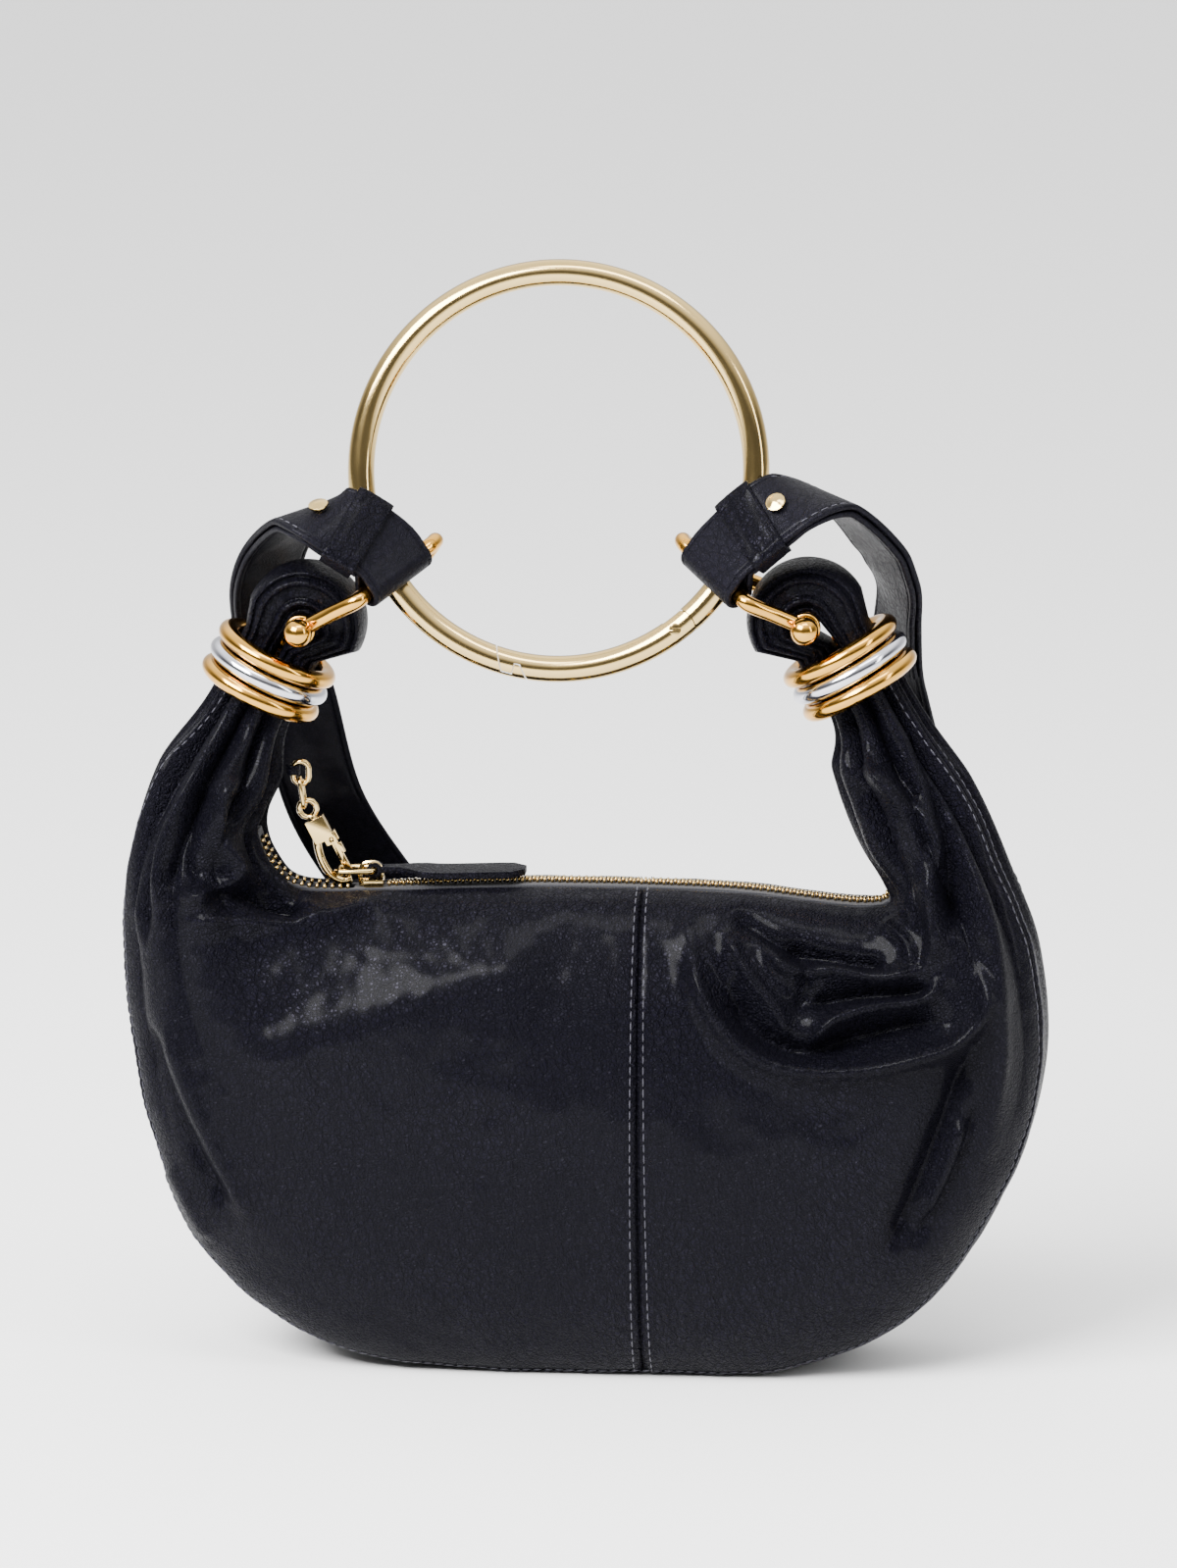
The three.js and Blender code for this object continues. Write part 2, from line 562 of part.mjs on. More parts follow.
const gatePin = ringPoint(GATE_PIN_ANGLE);
const alongPin = (distance) => gatePin.clone().addScaledVector(ringFront, distance);
function tongueOutline(clearance) {
  const pin = new THREE.Vector2(
    Math.cos(radians(GATE_PIN_ANGLE)) * RING_RADIUS,
    Math.sin(radians(GATE_PIN_ANGLE)) * RING_RADIUS,
  );
  const r = RING_ROD / 2 - 0.6 + clearance;
  const points = [];
  for (const a of spaced(90, 270, 8)) {
    const turned = radians(GATE_PIN_ANGLE + 90 + a);
    points.push(pin.clone().add(new THREE.Vector2(Math.cos(turned) * r, Math.sin(turned) * r)));
  }
  const ahead = new THREE.Vector2(
    Math.cos(radians(GATE_PIN_ANGLE + 90)),
    Math.sin(radians(GATE_PIN_ANGLE + 90)),
  ).multiplyScalar(GATE_KNUCKLE + 2);
  points.push(points[points.length - 1].clone().add(ahead), points[0].clone().add(ahead));
  return points;
}
function ringBody() {
  const ring = toSolid(ringTorus()).subtract(toSolid(gateRegion(FIT_GAP)));
  const tongue = toSolid(ringPrism(tongueOutline(0), TONGUE_THICKNESS));
  const hole = toSolid(bar(alongPin(-RING_ROD), alongPin(RING_ROD), PIN_DIAMETER + 2 * FIT_GAP, 16));
  return fromSolid(ring.add(tongue).subtract(hole));
}
function gateBody() {
  const gate = toSolid(ringTorus()).intersect(toSolid(gateRegion(0)));
  const slotWide = TONGUE_THICKNESS + 2 * FIT_GAP;
  const hub = bar(alongPin(-slotWide / 2), alongPin(slotWide / 2), RING_ROD + 1, 24);
  const tangent = ringPoint(GATE_PIN_ANGLE + 5).sub(gatePin).normalize();
  const way = block(
    gatePin.clone().addScaledVector(tangent, RING_ROD),
    tangent,
    ringFront,
    vec(2 * RING_ROD, slotWide, 2 * RING_ROD),
  );
  const hole = bar(alongPin(-RING_ROD), alongPin(RING_ROD), PIN_DIAMETER + 2 * FIT_GAP, 16);
  return fromSolid(gate.subtract(toSolid(hub)).subtract(toSolid(way)).subtract(toSolid(hole)));
}
function gatePinBody() {
  const half = RING_ROD / 2;
  const shank = bar(alongPin(-half - 0.6), alongPin(half + 0.2), PIN_DIAMETER, 12);
  const front = bar(alongPin(half + FIT_GAP - 0.2), alongPin(half + 1), PIN_HEAD, 14);
  const back = bar(alongPin(-half - 1), alongPin(-half - FIT_GAP + 0.2), PIN_HEAD, 14);
  const slot = block(alongPin(half + 1), vec(1, 0, 0), ringUp, vec(PIN_HEAD + 1, 0.6, 0.8));
  return cutBy(joined(shank, front, back), slot);
}
add("ring_handle", ringBody(), "paleGold");
add("ring_gate", gateBody(), "paleGold");
add("gate_pin", gatePinBody(), "paleGold");

// Where each strap end wraps its shackle: the roll lies across the front of the ring.
const ROLL_INNER = SHACKLE_ROD / 2 + FIT_GAP;
const ROLL_RADIUS = ROLL_INNER + STRAP_THICKNESS;
const ROLL_PLACES = {
  left: { degrees: 213.1, slide: -4, axis: vec(0.62, 0.66, 0.42), run: vec(-0.684, 0.02, 0.71) },
  right: { degrees: -31.5, slide: -4, axis: vec(-0.62, 0.66, 0.42), run: vec(0.684, 0.02, 0.71) },
};
function rollAt({ degrees, slide, axis, run }) {
  const a = axis.clone().normalize();
  const s = run.clone().addScaledVector(a, -run.dot(a)).normalize();
  const tangent = ringPoint(degrees + 1).sub(ringPoint(degrees)).normalize();
  const n = a.clone().cross(tangent).normalize();
  if (n.y < 0) n.negate();
  const centre = ringPoint(degrees)
    .addScaledVector(n, -(RING_ROD / 2 + ROLL_RADIUS + 2 * FIT_GAP))
    .addScaledVector(a, slide);
  const face = a.clone().cross(s).normalize();
  if (face.y > 0) face.negate();
  return { centre, axis: a, run: s, face };
}
const ROLLS = { left: rollAt(ROLL_PLACES.left), right: rollAt(ROLL_PLACES.right) };

// A shackle: pin with ball heads, an ear at each end, and a bow that goes round the ring.
function shackle(name) {
  const horn = HORNS[name];
  const pin = pinOf(horn);
  const roll = ROLLS[name];
  const loopFace = LOOP_DEPTH / 2 + FIT_GAP;
  const ear = loopFace + SHACKLE_ROD / 2;
  const at = (y) => vec(pin.x, y, pin.z);
  const half = STRAP_WIDTH / 2;
  const onRoll = (along) => roll.centre.clone().addScaledVector(roll.axis, along);
  const near = onRoll(-half - 4);
  const far = onRoll(half + 4);
  const inwards = ringCentre.clone().sub(roll.centre).normalize();
  const behindRing = RING_ROD / 2 + SHACKLE_ROD / 2 + 4;
  const ringHere = ringPoint(ROLL_PLACES[name].degrees);
  const turnTop = far.clone().addScaledVector(roll.axis, 1.5).add(vec(0, 3, 0));
  const turnBack = ringHere.clone().addScaledVector(ringFront, -behindRing).addScaledVector(inwards, 7);
  const path = [
    at(-ear),
    at(-ear).lerp(near, 0.5),
    near,
    onRoll(-half - 0.5),
    onRoll(half + 0.5),
    far,
    turnTop,
    turnBack,
    turnBack.clone().lerp(at(ear), 0.5).add(vec(0, 4, 0)),
    at(ear),
  ];
  const shoulder = BALL_DIAMETER / 2 + EAR_THICKNESS / 2 - 0.4;
  return joined(
    rod(path, SHACKLE_ROD, 8, 44),
    bar(at(-ear - EAR_THICKNESS / 2), at(-ear + EAR_THICKNESS / 2), BALL_DIAMETER + 0.6, 12),
    bar(at(ear - EAR_THICKNESS / 2), at(ear + EAR_THICKNESS / 2), BALL_DIAMETER + 0.6, 12),
    bar(at(-ear), at(ear), SHACKLE_ROD - 1, 8),
    ball(at(-ear - shoulder), BALL_DIAMETER),
    ball(at(ear + shoulder), BALL_DIAMETER),
  );
}
for (const name of ["left", "right"]) add(`shackle_${name}`, shackle(name), "gold");

// The strap's route as middle points and width directions. Offsets are in shares of STRAP_WIDTH
// from the piece that each row names.
const backOf = (z) => vec(0, HALF_DEPTH, z * HORN_HEIGHT);
const STRAP_ROUTE = {
  left: [
    { from: "roll", x: -0.85, y: -0.1, z: 0.75, wx: 0.62, wy: 0.66, wz: 0.42 },
    { from: "roll", x: -1.1, y: 0.2, z: 0.72, wx: 0.62, wy: 0.77, wz: 0.12 },
    { from: "horn", x: 0.09, y: 0.42, z: 1.63, wx: 0.7, wy: 0.7, wz: 0.1 },
    { from: "horn", x: -0.12, y: 0.68, z: 1.18, wx: 0.72, wy: 0.69, wz: 0.05 },
    { from: "horn", x: -0.16, y: 0.96, z: 0.69, wx: 0.78, wy: 0.62, wz: 0.1 },
    { from: "horn", x: -0.05, y: 1.2, z: 0.05, wx: 0.86, wy: 0.4, wz: 0.3 },
    { from: "horn", x: 0.15, y: 1.3, z: -0.55, wx: 0.9, wy: 0.12, wz: 0.42 },
    { from: "horn", x: 0.54, y: 1.36, z: -2, wx: 0.85, wy: 0, wz: 0.53 },
    { from: "back", share: -0.45, y: 0.02, z: 0.6, wx: 0.72, wy: 0, wz: 0.69 },
    { from: "back", share: -0.3, y: 0.02, z: 0.47, wx: 0.7, wy: 0, wz: 0.71 },
    { from: "back", share: -0.11, y: 0.02, z: 0.385, wx: 0.38, wy: 0, wz: 0.92 },
  ],
  right: [
    { from: "roll", x: 0.92, y: -0.08, z: 0.95, wx: -0.62, wy: 0.66, wz: 0.42 },
    { from: "roll", x: 1.42, y: 0.34, z: 0.9, wx: -0.42, wy: 0.9, wz: 0 },
    { from: "horn", x: 0.38, y: 0.4, z: 1.45, wx: -0.42, wy: 0.88, wz: -0.22 },
    { from: "horn", x: 0.52, y: 0.56, z: 1.13, wx: -0.45, wy: 0.88, wz: -0.15 },
    { from: "horn", x: 0.6, y: 0.83, z: 0.69, wx: -0.38, wy: 0.92, wz: -0.05 },
    { from: "horn", x: 0.58, y: 1.12, z: 0.2, wx: -0.5, wy: 0.86, wz: 0 },
    { from: "horn", x: 0.5, y: 1.34, z: -0.5, wx: -0.8, wy: 0.58, wz: -0.1 },
    { from: "horn", x: 0.66, y: 1.46, z: -1.7, wx: -0.97, wy: 0.12, wz: -0.18 },
    { from: "horn", x: 0.9, y: 1.46, z: -2.8, wx: -1, wy: 0, wz: -0.06 },
    { from: "back", share: 0.7, y: 0.1, z: 0.52, wx: -0.86, wy: 0, wz: 0.51 },
    { from: "back", share: 0.56, y: 0.05, z: 0.43, wx: -0.6, wy: 0, wz: 0.8 },
    { from: "back", share: 0.34, y: 0.02, z: 0.373, wx: -0.26, wy: 0, wz: 0.97 },
  ],
};
function routeRow(name, row) {
  const w = vec(row.wx, row.wy, row.wz).normalize();
  if (row.from === "back") return { p: backOf(row.z).add(vec(row.share * HALF_WIDTH, WALL, 0)), w };
  const base = row.from === "roll" ? ROLLS[name].centre : HORNS[name].end;
  return { p: base.clone().add(vec(row.x, row.y, row.z).multiplyScalar(STRAP_WIDTH)), w };
}

// One end of the strap as rows of { p, w }, from the roll outwards, with the layers' spacing.
const LAYER_GAP = 0.45;
const STRAP_STEPS = 80; // rows from a roll to the strap's lowest point
function strapEnd(name) {
  const roll = ROLLS[name];
  const r = ROLL_INNER + STRAP_THICKNESS / 2;
  const rows = [];
  for (const along of [0.6, 7]) {
    const p = roll.centre.clone().addScaledVector(roll.face, r + along * 0.06).addScaledVector(roll.run, along);
    rows.push({ p, w: roll.axis.clone() });
  }
  for (const row of STRAP_ROUTE[name]) rows.push(routeRow(name, row));
  return rows;
}
function rollArc(name) {
  const roll = ROLLS[name];
  const r = ROLL_INNER + STRAP_THICKNESS / 2;
  return spaced(90, -90, 8).map((degrees) => {
    const a = radians(degrees);
    return {
      p: roll.centre
        .clone()
        .addScaledVector(roll.face, Math.sin(a) * r)
        .addScaledVector(roll.run, -Math.cos(a) * r),
      w: roll.axis.clone(),
    };
  });
}

// Rows spaced smoothly along a list of rows.
function smoothRows(rows, count) {
  const path = new THREE.CatmullRomCurve3(rows.map(({ p }) => p), false, "centripetal");
  const widths = new THREE.CatmullRomCurve3(rows.map(({ w }) => w), false, "centripetal");
  return spaced(0, 1, count)
    .map((share) => path.getUtoTmapping(share))
    .map((t) => ({ p: path.getPoint(t), w: widths.getPoint(t).normalize() }));
}
function layerNormal(rows, i) {
  const before = rows[Math.max(i - 1, 0)].p;
  const after = rows[Math.min(i + 1, rows.length - 1)].p;
  const t = after.clone().sub(before).normalize();
  const w = rows[i].w.clone().addScaledVector(t, -rows[i].w.dot(t)).normalize();
  return { t, w, n: t.clone().cross(w).normalize() };
}
const leftOuter = strapEnd("left");
const rightOuter = strapEnd("right");
const lowPoint = { p: backOf(0.355).add(vec(0.1 * HALF_WIDTH, WALL + 1.5, 0)), w: vec(0, 0, 1) };
function spanRows() {
  // the width direction keeps one sense all the way: inward at the left is outward at the right
  const right = [...rightOuter].reverse().map(({ p, w }) => ({ p, w: w.clone() }));
  return {
    left: smoothRows([...leftOuter, lowPoint], STRAP_STEPS),
    right: smoothRows([lowPoint, ...right], STRAP_STEPS),
  };
}

// The direction from each row to the layer under it, starting from the roll's inner side.
function undersides(rows, name) {
  let last = ROLLS[name].face.clone().negate();
  return rows.map((row, i) => {
    const { n } = layerNormal(rows, i);
    last = n.dot(last) < 0 ? n.clone().negate() : n;
    return last;
  });
}

// The folded-back layer of an end leaves the roll and follows the outer layer a little below it.
const TAIL_ROWS = { from: 2, to: 31 };
function tail(outerRows, name) {
  const drop = STRAP_THICKNESS + LAYER_GAP;
  const under = undersides(outerRows, name);
  const roll = ROLLS[name];
  const r = ROLL_INNER + STRAP_THICKNESS / 2;
  const leave = roll.centre.clone().addScaledVector(roll.face, -r + 0.2).addScaledVector(roll.run, 2.4);
  const rows = [{ p: leave, w: roll.axis.clone() }];
  for (let i = TAIL_ROWS.from; i < TAIL_ROWS.to; i++) {
    const { w } = layerNormal(outerRows, i);
    rows.push({ p: outerRows[i].p.clone().addScaledVector(under[i], drop), w });
  }
  return rows;
}
function ribbon(rows, width, thickness) {
  const rings = rows.map((row, i) => {
    const { w, n } = layerNormal(rows, i);
    const corner = (a, b) =>
      row.p.clone().addScaledVector(w, (a * width) / 2).addScaledVector(n, (b * thickness) / 2);
    return [corner(-1, -1), corner(1, -1), corner(1, 1), corner(-1, 1)];
  });
  return loft(rings);
}
const span = spanRows();
const leftTail = tail(span.left, "left");
const rightFromRoll = [...span.right].reverse();
const rightTail = tail(rightFromRoll, "right");
const strapRows = [
  ...[...leftTail].reverse(),
  ...[...rollArc("left")].reverse(),
  ...span.left,
  ...span.right.slice(1),
  ...rollArc("right"),
  ...rightTail,
];
const RIVET_ROWS = { left: 8, right: 7 };
const rivetSpot = { left: layerSpot(span.left, "left"), right: layerSpot(rightFromRoll, "right") };
function layerSpot(rows, name) {
  const i = RIVET_ROWS[name];
  return { p: rows[i].p, out: undersides(rows, name)[i].clone().negate() };
}
const rivetLine = ({ p, out }, from, to) => [
  p.clone().addScaledVector(out, from),
  p.clone().addScaledVector(out, to),
];
const strapSolid = ribbon(strapRows, STRAP_WIDTH, STRAP_THICKNESS);
const rivetHoles = ["left", "right"].map((name) =>
  bar(...rivetLine(rivetSpot[name], -6, 4), PIN_DIAMETER + 2 * FIT_GAP, 10),
);
add("strap", cutBy(strapSolid, ...rivetHoles), "leather");

// Keepers hold both layers of each strap end, and a rivet goes through them.
const KEEPER_ROWS = { from: 3, to: 6 };
function keeper(rows, name) {
  const drop = (STRAP_THICKNESS + LAYER_GAP) / 2;
  const under = undersides(rows, name);
  const middle = (from, to) => {
    const picked = [];
    for (let i = from; i <= to; i++) {
      picked.push({ p: rows[i].p.clone().addScaledVector(under[i], drop), w: layerNormal(rows, i).w });
    }
    return picked;
  };
  const stack = 2 * STRAP_THICKNESS + LAYER_GAP + 2 * FIT_GAP;
  const outer = middle(KEEPER_ROWS.from, KEEPER_ROWS.to);
  const inner = middle(KEEPER_ROWS.from - 1, KEEPER_ROWS.to + 1);
  return cutBy(
    ribbon(outer, STRAP_WIDTH + 2 * (FIT_GAP + KEEPER_WALL), stack + 2 * KEEPER_WALL),
    ribbon(inner, STRAP_WIDTH + 2 * FIT_GAP, stack),
  );
}
function rivet({ p, out }) {
  const drop = STRAP_THICKNESS + LAYER_GAP;
  const seat = STRAP_THICKNESS / 2 + 3.8 * FIT_GAP;
  const top = seat;
  const foot = -drop - seat;
  const spot = (distance) => p.clone().addScaledVector(out, distance);
  return joined(
    bar(spot(foot - 0.4), spot(top + 0.4), PIN_DIAMETER, 10),
    bar(spot(top), spot(top + 0.7), RIVET_DIAMETER, 14),
    bar(spot(top + 0.6), spot(top + 1.4), RIVET_DIAMETER - 0.6, 14, RIVET_DIAMETER * 0.5),
    bar(spot(foot - 0.8), spot(foot), RIVET_DIAMETER, 14),
  );
}
add("strap_keeper_left", keeper(span.left, "left"), "leather");
add("strap_keeper_right", keeper(rightFromRoll, "right"), "leather");
add("strap_rivet_left", rivet(rivetSpot.left), "paleGold");
add("strap_rivet_right", rivet(rivetSpot.right), "paleGold");

// The mouth at u: its middle point, the way along it and the way down into the bag.
function mouthAt(u) {
  const { inner, outer } = sectionAt(u);
  const along = sectionAt(u + 0.004).inner.sub(sectionAt(u - 0.004).inner).normalize();
  const down = vec(along.z, 0, -along.x);
  if (down.dot(outer.clone().sub(inner)) < 0) down.negate();
  return { p: inner, along, down };
}
// A strip along the mouth between two places, across from -half to half, between two depths.
function mouthStrip(from, to, half, top, bottom, steps) {
  const rings = spaced(from, to, steps).map((u) => {
    const { p, down } = mouthAt(u);
    const spot = (y, depth) => p.clone().addScaledVector(down, depth).add(vec(0, y, 0));
    return [spot(-half, top), spot(half, top), spot(half, bottom), spot(-half, bottom)];
  });
  return loft(rings);
}
const ZIP = { start: 0.176, slider: 0.331, end: 0.745 };
const TAPE_TOP = 0.5;
const tapeHalf = MOUTH_WIDTH / 2 - WALL - FIT_GAP;
const wholeTape = mouthStrip(ZIP.start, ZIP.end, tapeHalf, TAPE_TOP, TAPE_TOP + TAPE_THICKNESS, 26);
const openPart = mouthStrip(ZIP.start + 0.008, ZIP.slider - 0.012, SLOT_WIDTH / 2, -3, 5, 10);
add("zip_tape", cutBy(wholeTape, openPart), "leather");
const chainTop = TAPE_TOP - FIT_GAP - 1.1;
add(
  "zip_chain",
  mouthStrip(ZIP.slider + 0.012, ZIP.end - 0.006, CHAIN_WIDTH / 2, chainTop, TAPE_TOP - FIT_GAP, 26),
  "paleGold",
);

const slide = mouthAt(ZIP.slider);
const onMouth = (along, above, y = 0) =>
  slide.p.clone().addScaledVector(slide.along, along).addScaledVector(slide.down, -above).add(vec(0, y, 0));
const SLIDER_TOP = 2;
const SLIDER_WIDTH = 7.6;
const BAIL_WIRE = 1.4;
const BARREL = WIRE + 2 * FIT_GAP + 2.4; // the leather round the ring's wire
const wireHeight = SLIDER_TOP + FIT_GAP + BARREL / 2;
const bailTop = wireHeight + WIRE / 2 + FIT_GAP + BAIL_WIRE / 2;
function slider() {
  const seat = -(TAPE_TOP - FIT_GAP);
  const half = SLIDER_LENGTH / 2;
  const nose = SLIDER_WIDTH * 0.55;
  const body = block(
    onMouth(nose / 4, (SLIDER_TOP + seat) / 2),
    slide.along,
    vec(0, 1, 0),
    vec(SLIDER_LENGTH - nose / 2, SLIDER_WIDTH, SLIDER_TOP - seat),
  );
  const tip = bar(onMouth(nose / 2 - half, seat), onMouth(nose / 2 - half, SLIDER_TOP), nose, 12);
  const leg = half - BAIL_WIRE / 2;
  const bail = rod(
    [
      onMouth(-leg, SLIDER_TOP - 0.5),
      onMouth(-leg, wireHeight),
      onMouth(-leg + 1.4, bailTop),
      onMouth(leg - 1.4, bailTop),
      onMouth(leg, wireHeight),
      onMouth(leg, SLIDER_TOP - 0.5),
    ],
    BAIL_WIRE,
    6,
    14,
  );
  return joined(body, tip, bail);
}
add("zip_slider", slider(), "paleGold");

// The ring of the pull: a small rectangular loop that lies flat, through the bail and the hook.
const RING_LONG = 13.4;
const RING_WIDE = 9.4;
const farWire = 1.2;
function closedRod(points, diameter, sides) {
  const n = points.length;
  const middle = points.reduce((sum, p) => sum.add(p), vec(0, 0, 0)).divideScalar(n);
  const normal = points[0].clone().sub(middle).cross(points[1].clone().sub(middle)).normalize();
  const positions = [];
  const index = [];
  points.forEach((p, i) => {
    const t = points[(i + 1) % n].clone().sub(points[(i + n - 1) % n]).normalize();
    const side = t.clone().cross(normal);
    for (let k = 0; k < sides; k++) {
      const a = (2 * Math.PI * k) / sides;
      const q = p
        .clone()
        .addScaledVector(side, (Math.cos(a) * diameter) / 2)
        .addScaledVector(normal, (Math.sin(a) * diameter) / 2);
      positions.push(q.x, q.y, q.z);
      const [j, m] = [(i + 1) % n, (k + 1) % sides];
      index.push(i * sides + k, i * sides + m, j * sides + m, i * sides + k, j * sides + m, j * sides + k);
    }
  });
  return outward(positions, index);
}
// A loop with rounded corners in the plane of two directions.
function loopRod(centre, a, b, long, wide, corner, diameter, sides = 8) {
  const points = [];
  for (const [sa, sb, start] of [[1, 1, 0], [-1, 1, 90], [-1, -1, 180], [1, -1, 270]]) {
    for (const degrees of spaced(start, start + 90, 3)) {
      const t = radians(degrees);
      const x = sa * (long / 2 - corner) + Math.cos(t) * corner;
      const y = sb * (wide / 2 - corner) + Math.sin(t) * corner;
      points.push(centre.clone().addScaledVector(a, x).addScaledVector(b, y));
    }
  }
  return closedRod(points, diameter, sides);
}
const acrossBag = vec(0, 1, 0);
const nearWire = farWire - (RING_LONG - WIRE);
const pullRingCentre = onMouth((farWire + nearWire) / 2, wireHeight);
add(
  "pull_ring",
  loopRod(pullRingCentre, slide.along, acrossBag, RING_LONG - WIRE, RING_WIDE - WIRE, 1.6, WIRE),
  "paleGold",
);

// The leather pull lies along the closed zip and grips the ring with a notched barrel.
const BARREL_WIDTH = RING_WIDE - 2 * WIRE - 4 * FIT_GAP;
const PULL_REST = 3; // height of the pull's middle over the mouth where it lies on the zip
function pullTab() {
  const rows = spaced(0, 1, 12).map((t) => {
    const along = farWire + 1.4 + t * PULL_LENGTH;
    const { p, down } = mouthAt(ZIP.slider + (along / PULL_LENGTH) * 0.095);
    const above = THREE.MathUtils.lerp(wireHeight, PULL_REST, smooth(0.1, 0.5, t));
    const neck = THREE.MathUtils.lerp(BARREL_WIDTH, PULL_WIDTH, smooth(0.12, 0.36, t));
    const end = Math.sqrt(Math.max(1 - Math.pow(Math.max(t - 0.88, 0) / 0.13, 2), 0));
    return { p: p.addScaledVector(down, -above), down, half: (neck * end) / 2 };
  });
  const rings = rows.map(({ p, down, half }) => {
    const spot = (y, depth) => p.clone().addScaledVector(down, depth).add(vec(0, y, 0));
    const t = STRAP_THICKNESS / 2;
    return [spot(-half, -t), spot(half, -t), spot(half, t), spot(-half, t)];
  });
  return loft(rings);
}
function zipPull() {
  const across = (half) => onMouth(farWire, wireHeight, half);
  const barrel = bar(across(-BARREL_WIDTH / 2), across(BARREL_WIDTH / 2), BARREL, 14);
  const bore = bar(across(-RING_WIDE), across(RING_WIDE), WIRE + 2 * FIT_GAP, 12);
  const notch = block(
    onMouth(0, wireHeight),
    slide.along,
    vec(0, 1, 0),
    vec(SLIDER_LENGTH + 2 * FIT_GAP, BAIL_WIRE + 2 * FIT_GAP, 2 * BARREL),
  );
  return cutBy(joined(barrel, pullTab()), bore, notch);
}
add("zip_pull", zipPull(), "leather");

// The clip is one chain from the pull's ring to a dee on the left horn's inner edge. Its pieces
// keep their bends, and the chain's reach sets the dee's place along that edge.
const CHAIN_REACH = 29.34; // from the pull's ring to the dee's lower wire
const HOOK_TURN = 4.9; // degrees from that line to the hook
const DEE = { out: 5.5, long: 4.8, tall: 7 };
const DEE_SEARCH = { high: 0.04, low: 0.12, halvings: 24 };
const gripPoint = onMouth(nearWire, wireHeight);
const deeAt = (u) => sectionAt(u).inner.clone().add(vec(DEE.out, 0, 0));
const deeWireAt = (u) => deeAt(u).add(vec(0, 0, -DEE.tall / 2));
let [tooFar, tooNear] = [DEE_SEARCH.high, DEE_SEARCH.low];
for (let i = 0; i < DEE_SEARCH.halvings; i++) {
  const u = (tooFar + tooNear) / 2;
  if (deeWireAt(u).distanceTo(gripPoint) > CHAIN_REACH) tooFar = u;
  else tooNear = u;
}
const deeCentre = deeAt(tooNear);
const deeWire = deeWireAt(tooNear);

// Hook axes run from the eye down towards the ring of the pull.
const chainWay = gripPoint.clone().sub(deeWire).normalize();
const hookWay = chainWay.clone().applyAxisAngle(vec(0, -1, 0), radians(HOOK_TURN));
const hookSide = vec(-hookWay.z, 0, hookWay.x);
const grip = { along: 21.3, across: -0.7 };
const eye = gripPoint.clone().addScaledVector(hookWay, -grip.along).addScaledVector(hookSide, -grip.across);
const onHook = (along, across, y = 0) =>
  eye.clone().addScaledVector(hookWay, along).addScaledVector(hookSide, across).add(vec(0, y, 0));
const HINGE = { along: 11.6, across: 2.6 };
const EYE_SIZE = 5.4;
const LINK_WIRE = 1.4;
function hookBody() {
  const claw = rod(
    [onHook(8, -1.2), onHook(12, -2.8), onHook(17, -3.8), onHook(22, -3.3), onHook(25.2, -0.9), onHook(25.8, 2)],
    2.6,
    8,
    14,
  );
  const housing = block(onHook(7.4, 0.4), hookWay, acrossBag, vec(7.6, 5.2, 6));
  const cheeks = block(onHook(11.3, 2.2), hookWay, acrossBag, vec(3.4, 5.2, 3.6));
  const mouth = block(onHook(12.2, 2.6), hookWay, acrossBag, vec(4.6, 2.6, 5));
  const stem = bar(onHook(2.6, 0), onHook(5, 0), 3, 10);
  const ring = loopRod(eye, hookWay, hookSide, EYE_SIZE, EYE_SIZE, EYE_SIZE / 2 - 0.1, WIRE);
  const hole = bar(onHook(HINGE.along, HINGE.across, -4), onHook(HINGE.along, HINGE.across, 4), 1.6, 10);
  return cutBy(joined(claw, housing, cheeks, stem, ring), mouth, hole);
}
function hookLever() {
  const tip = 24.2;
  const arm = block(onHook((HINGE.along + tip) / 2, 2.6), hookWay, acrossBag, vec(tip - HINGE.along, 2, 2));
  const hub = bar(onHook(HINGE.along, HINGE.across, -1), onHook(HINGE.along, HINGE.across, 1), 2.2, 12);
  const pin = bar(onHook(HINGE.along, HINGE.across, -2.6), onHook(HINGE.along, HINGE.across, 2.6), 1, 8);
  const thumb = block(onHook(15.4, 3.9), hookWay, acrossBag, vec(3.4, 3, 1));
  return joined(arm, hub, pin, thumb);
}
add("hook_body", hookBody(), "paleGold");
add("hook_lever", hookLever(), "paleGold");

// A dee hangs in a leather tab on the left horn's inner edge, and a link joins it to the hook.
add("clip_dee", loopRod(deeCentre, vec(1, 0, 0), vec(0, 0, 1), DEE.long, DEE.tall, 2.2, WIRE), "paleGold");

const LINK = { wide: 4.6, corner: 2 };
const eyeWire = eye.clone().addScaledVector(hookWay, -EYE_SIZE / 2);
const linkWay = eyeWire.clone().sub(deeWire).normalize();
const linkLong = eyeWire.distanceTo(deeWire) + WIRE + LINK_WIRE + 2 * FIT_GAP;
const linkCentre = eyeWire.clone().add(deeWire).multiplyScalar(0.5);
add("clip_link", loopRod(linkCentre, linkWay, acrossBag, linkLong, LINK.wide, LINK.corner, LINK_WIRE), "paleGold");

function clipTab() {
  const wire = deeCentre.clone().add(vec(-DEE.long / 2, 0, 0));
  const half = 1.5;
  const lift = 0.9;
  const above = (z) => wire.clone().add(vec(0, 0, z));
  const round = bar(above(lift - half), above(lift + half), WIRE + 3 * FIT_GAP + 1.8, 14);
  const bore = bar(above(-DEE.tall), above(DEE.tall), WIRE + 3 * FIT_GAP, 12);
  return cutBy(round, bore);
}
add("clip_tab", clipTab(), "leather");

export default bag;
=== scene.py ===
"""Ring handle bag: the looks of every piece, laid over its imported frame."""

import json
import logging
import math
from dataclasses import dataclass, field
from enum import Enum
from typing import Callable, NamedTuple, Optional, Sequence

import bpy
import numpy as np
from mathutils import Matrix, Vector, noise

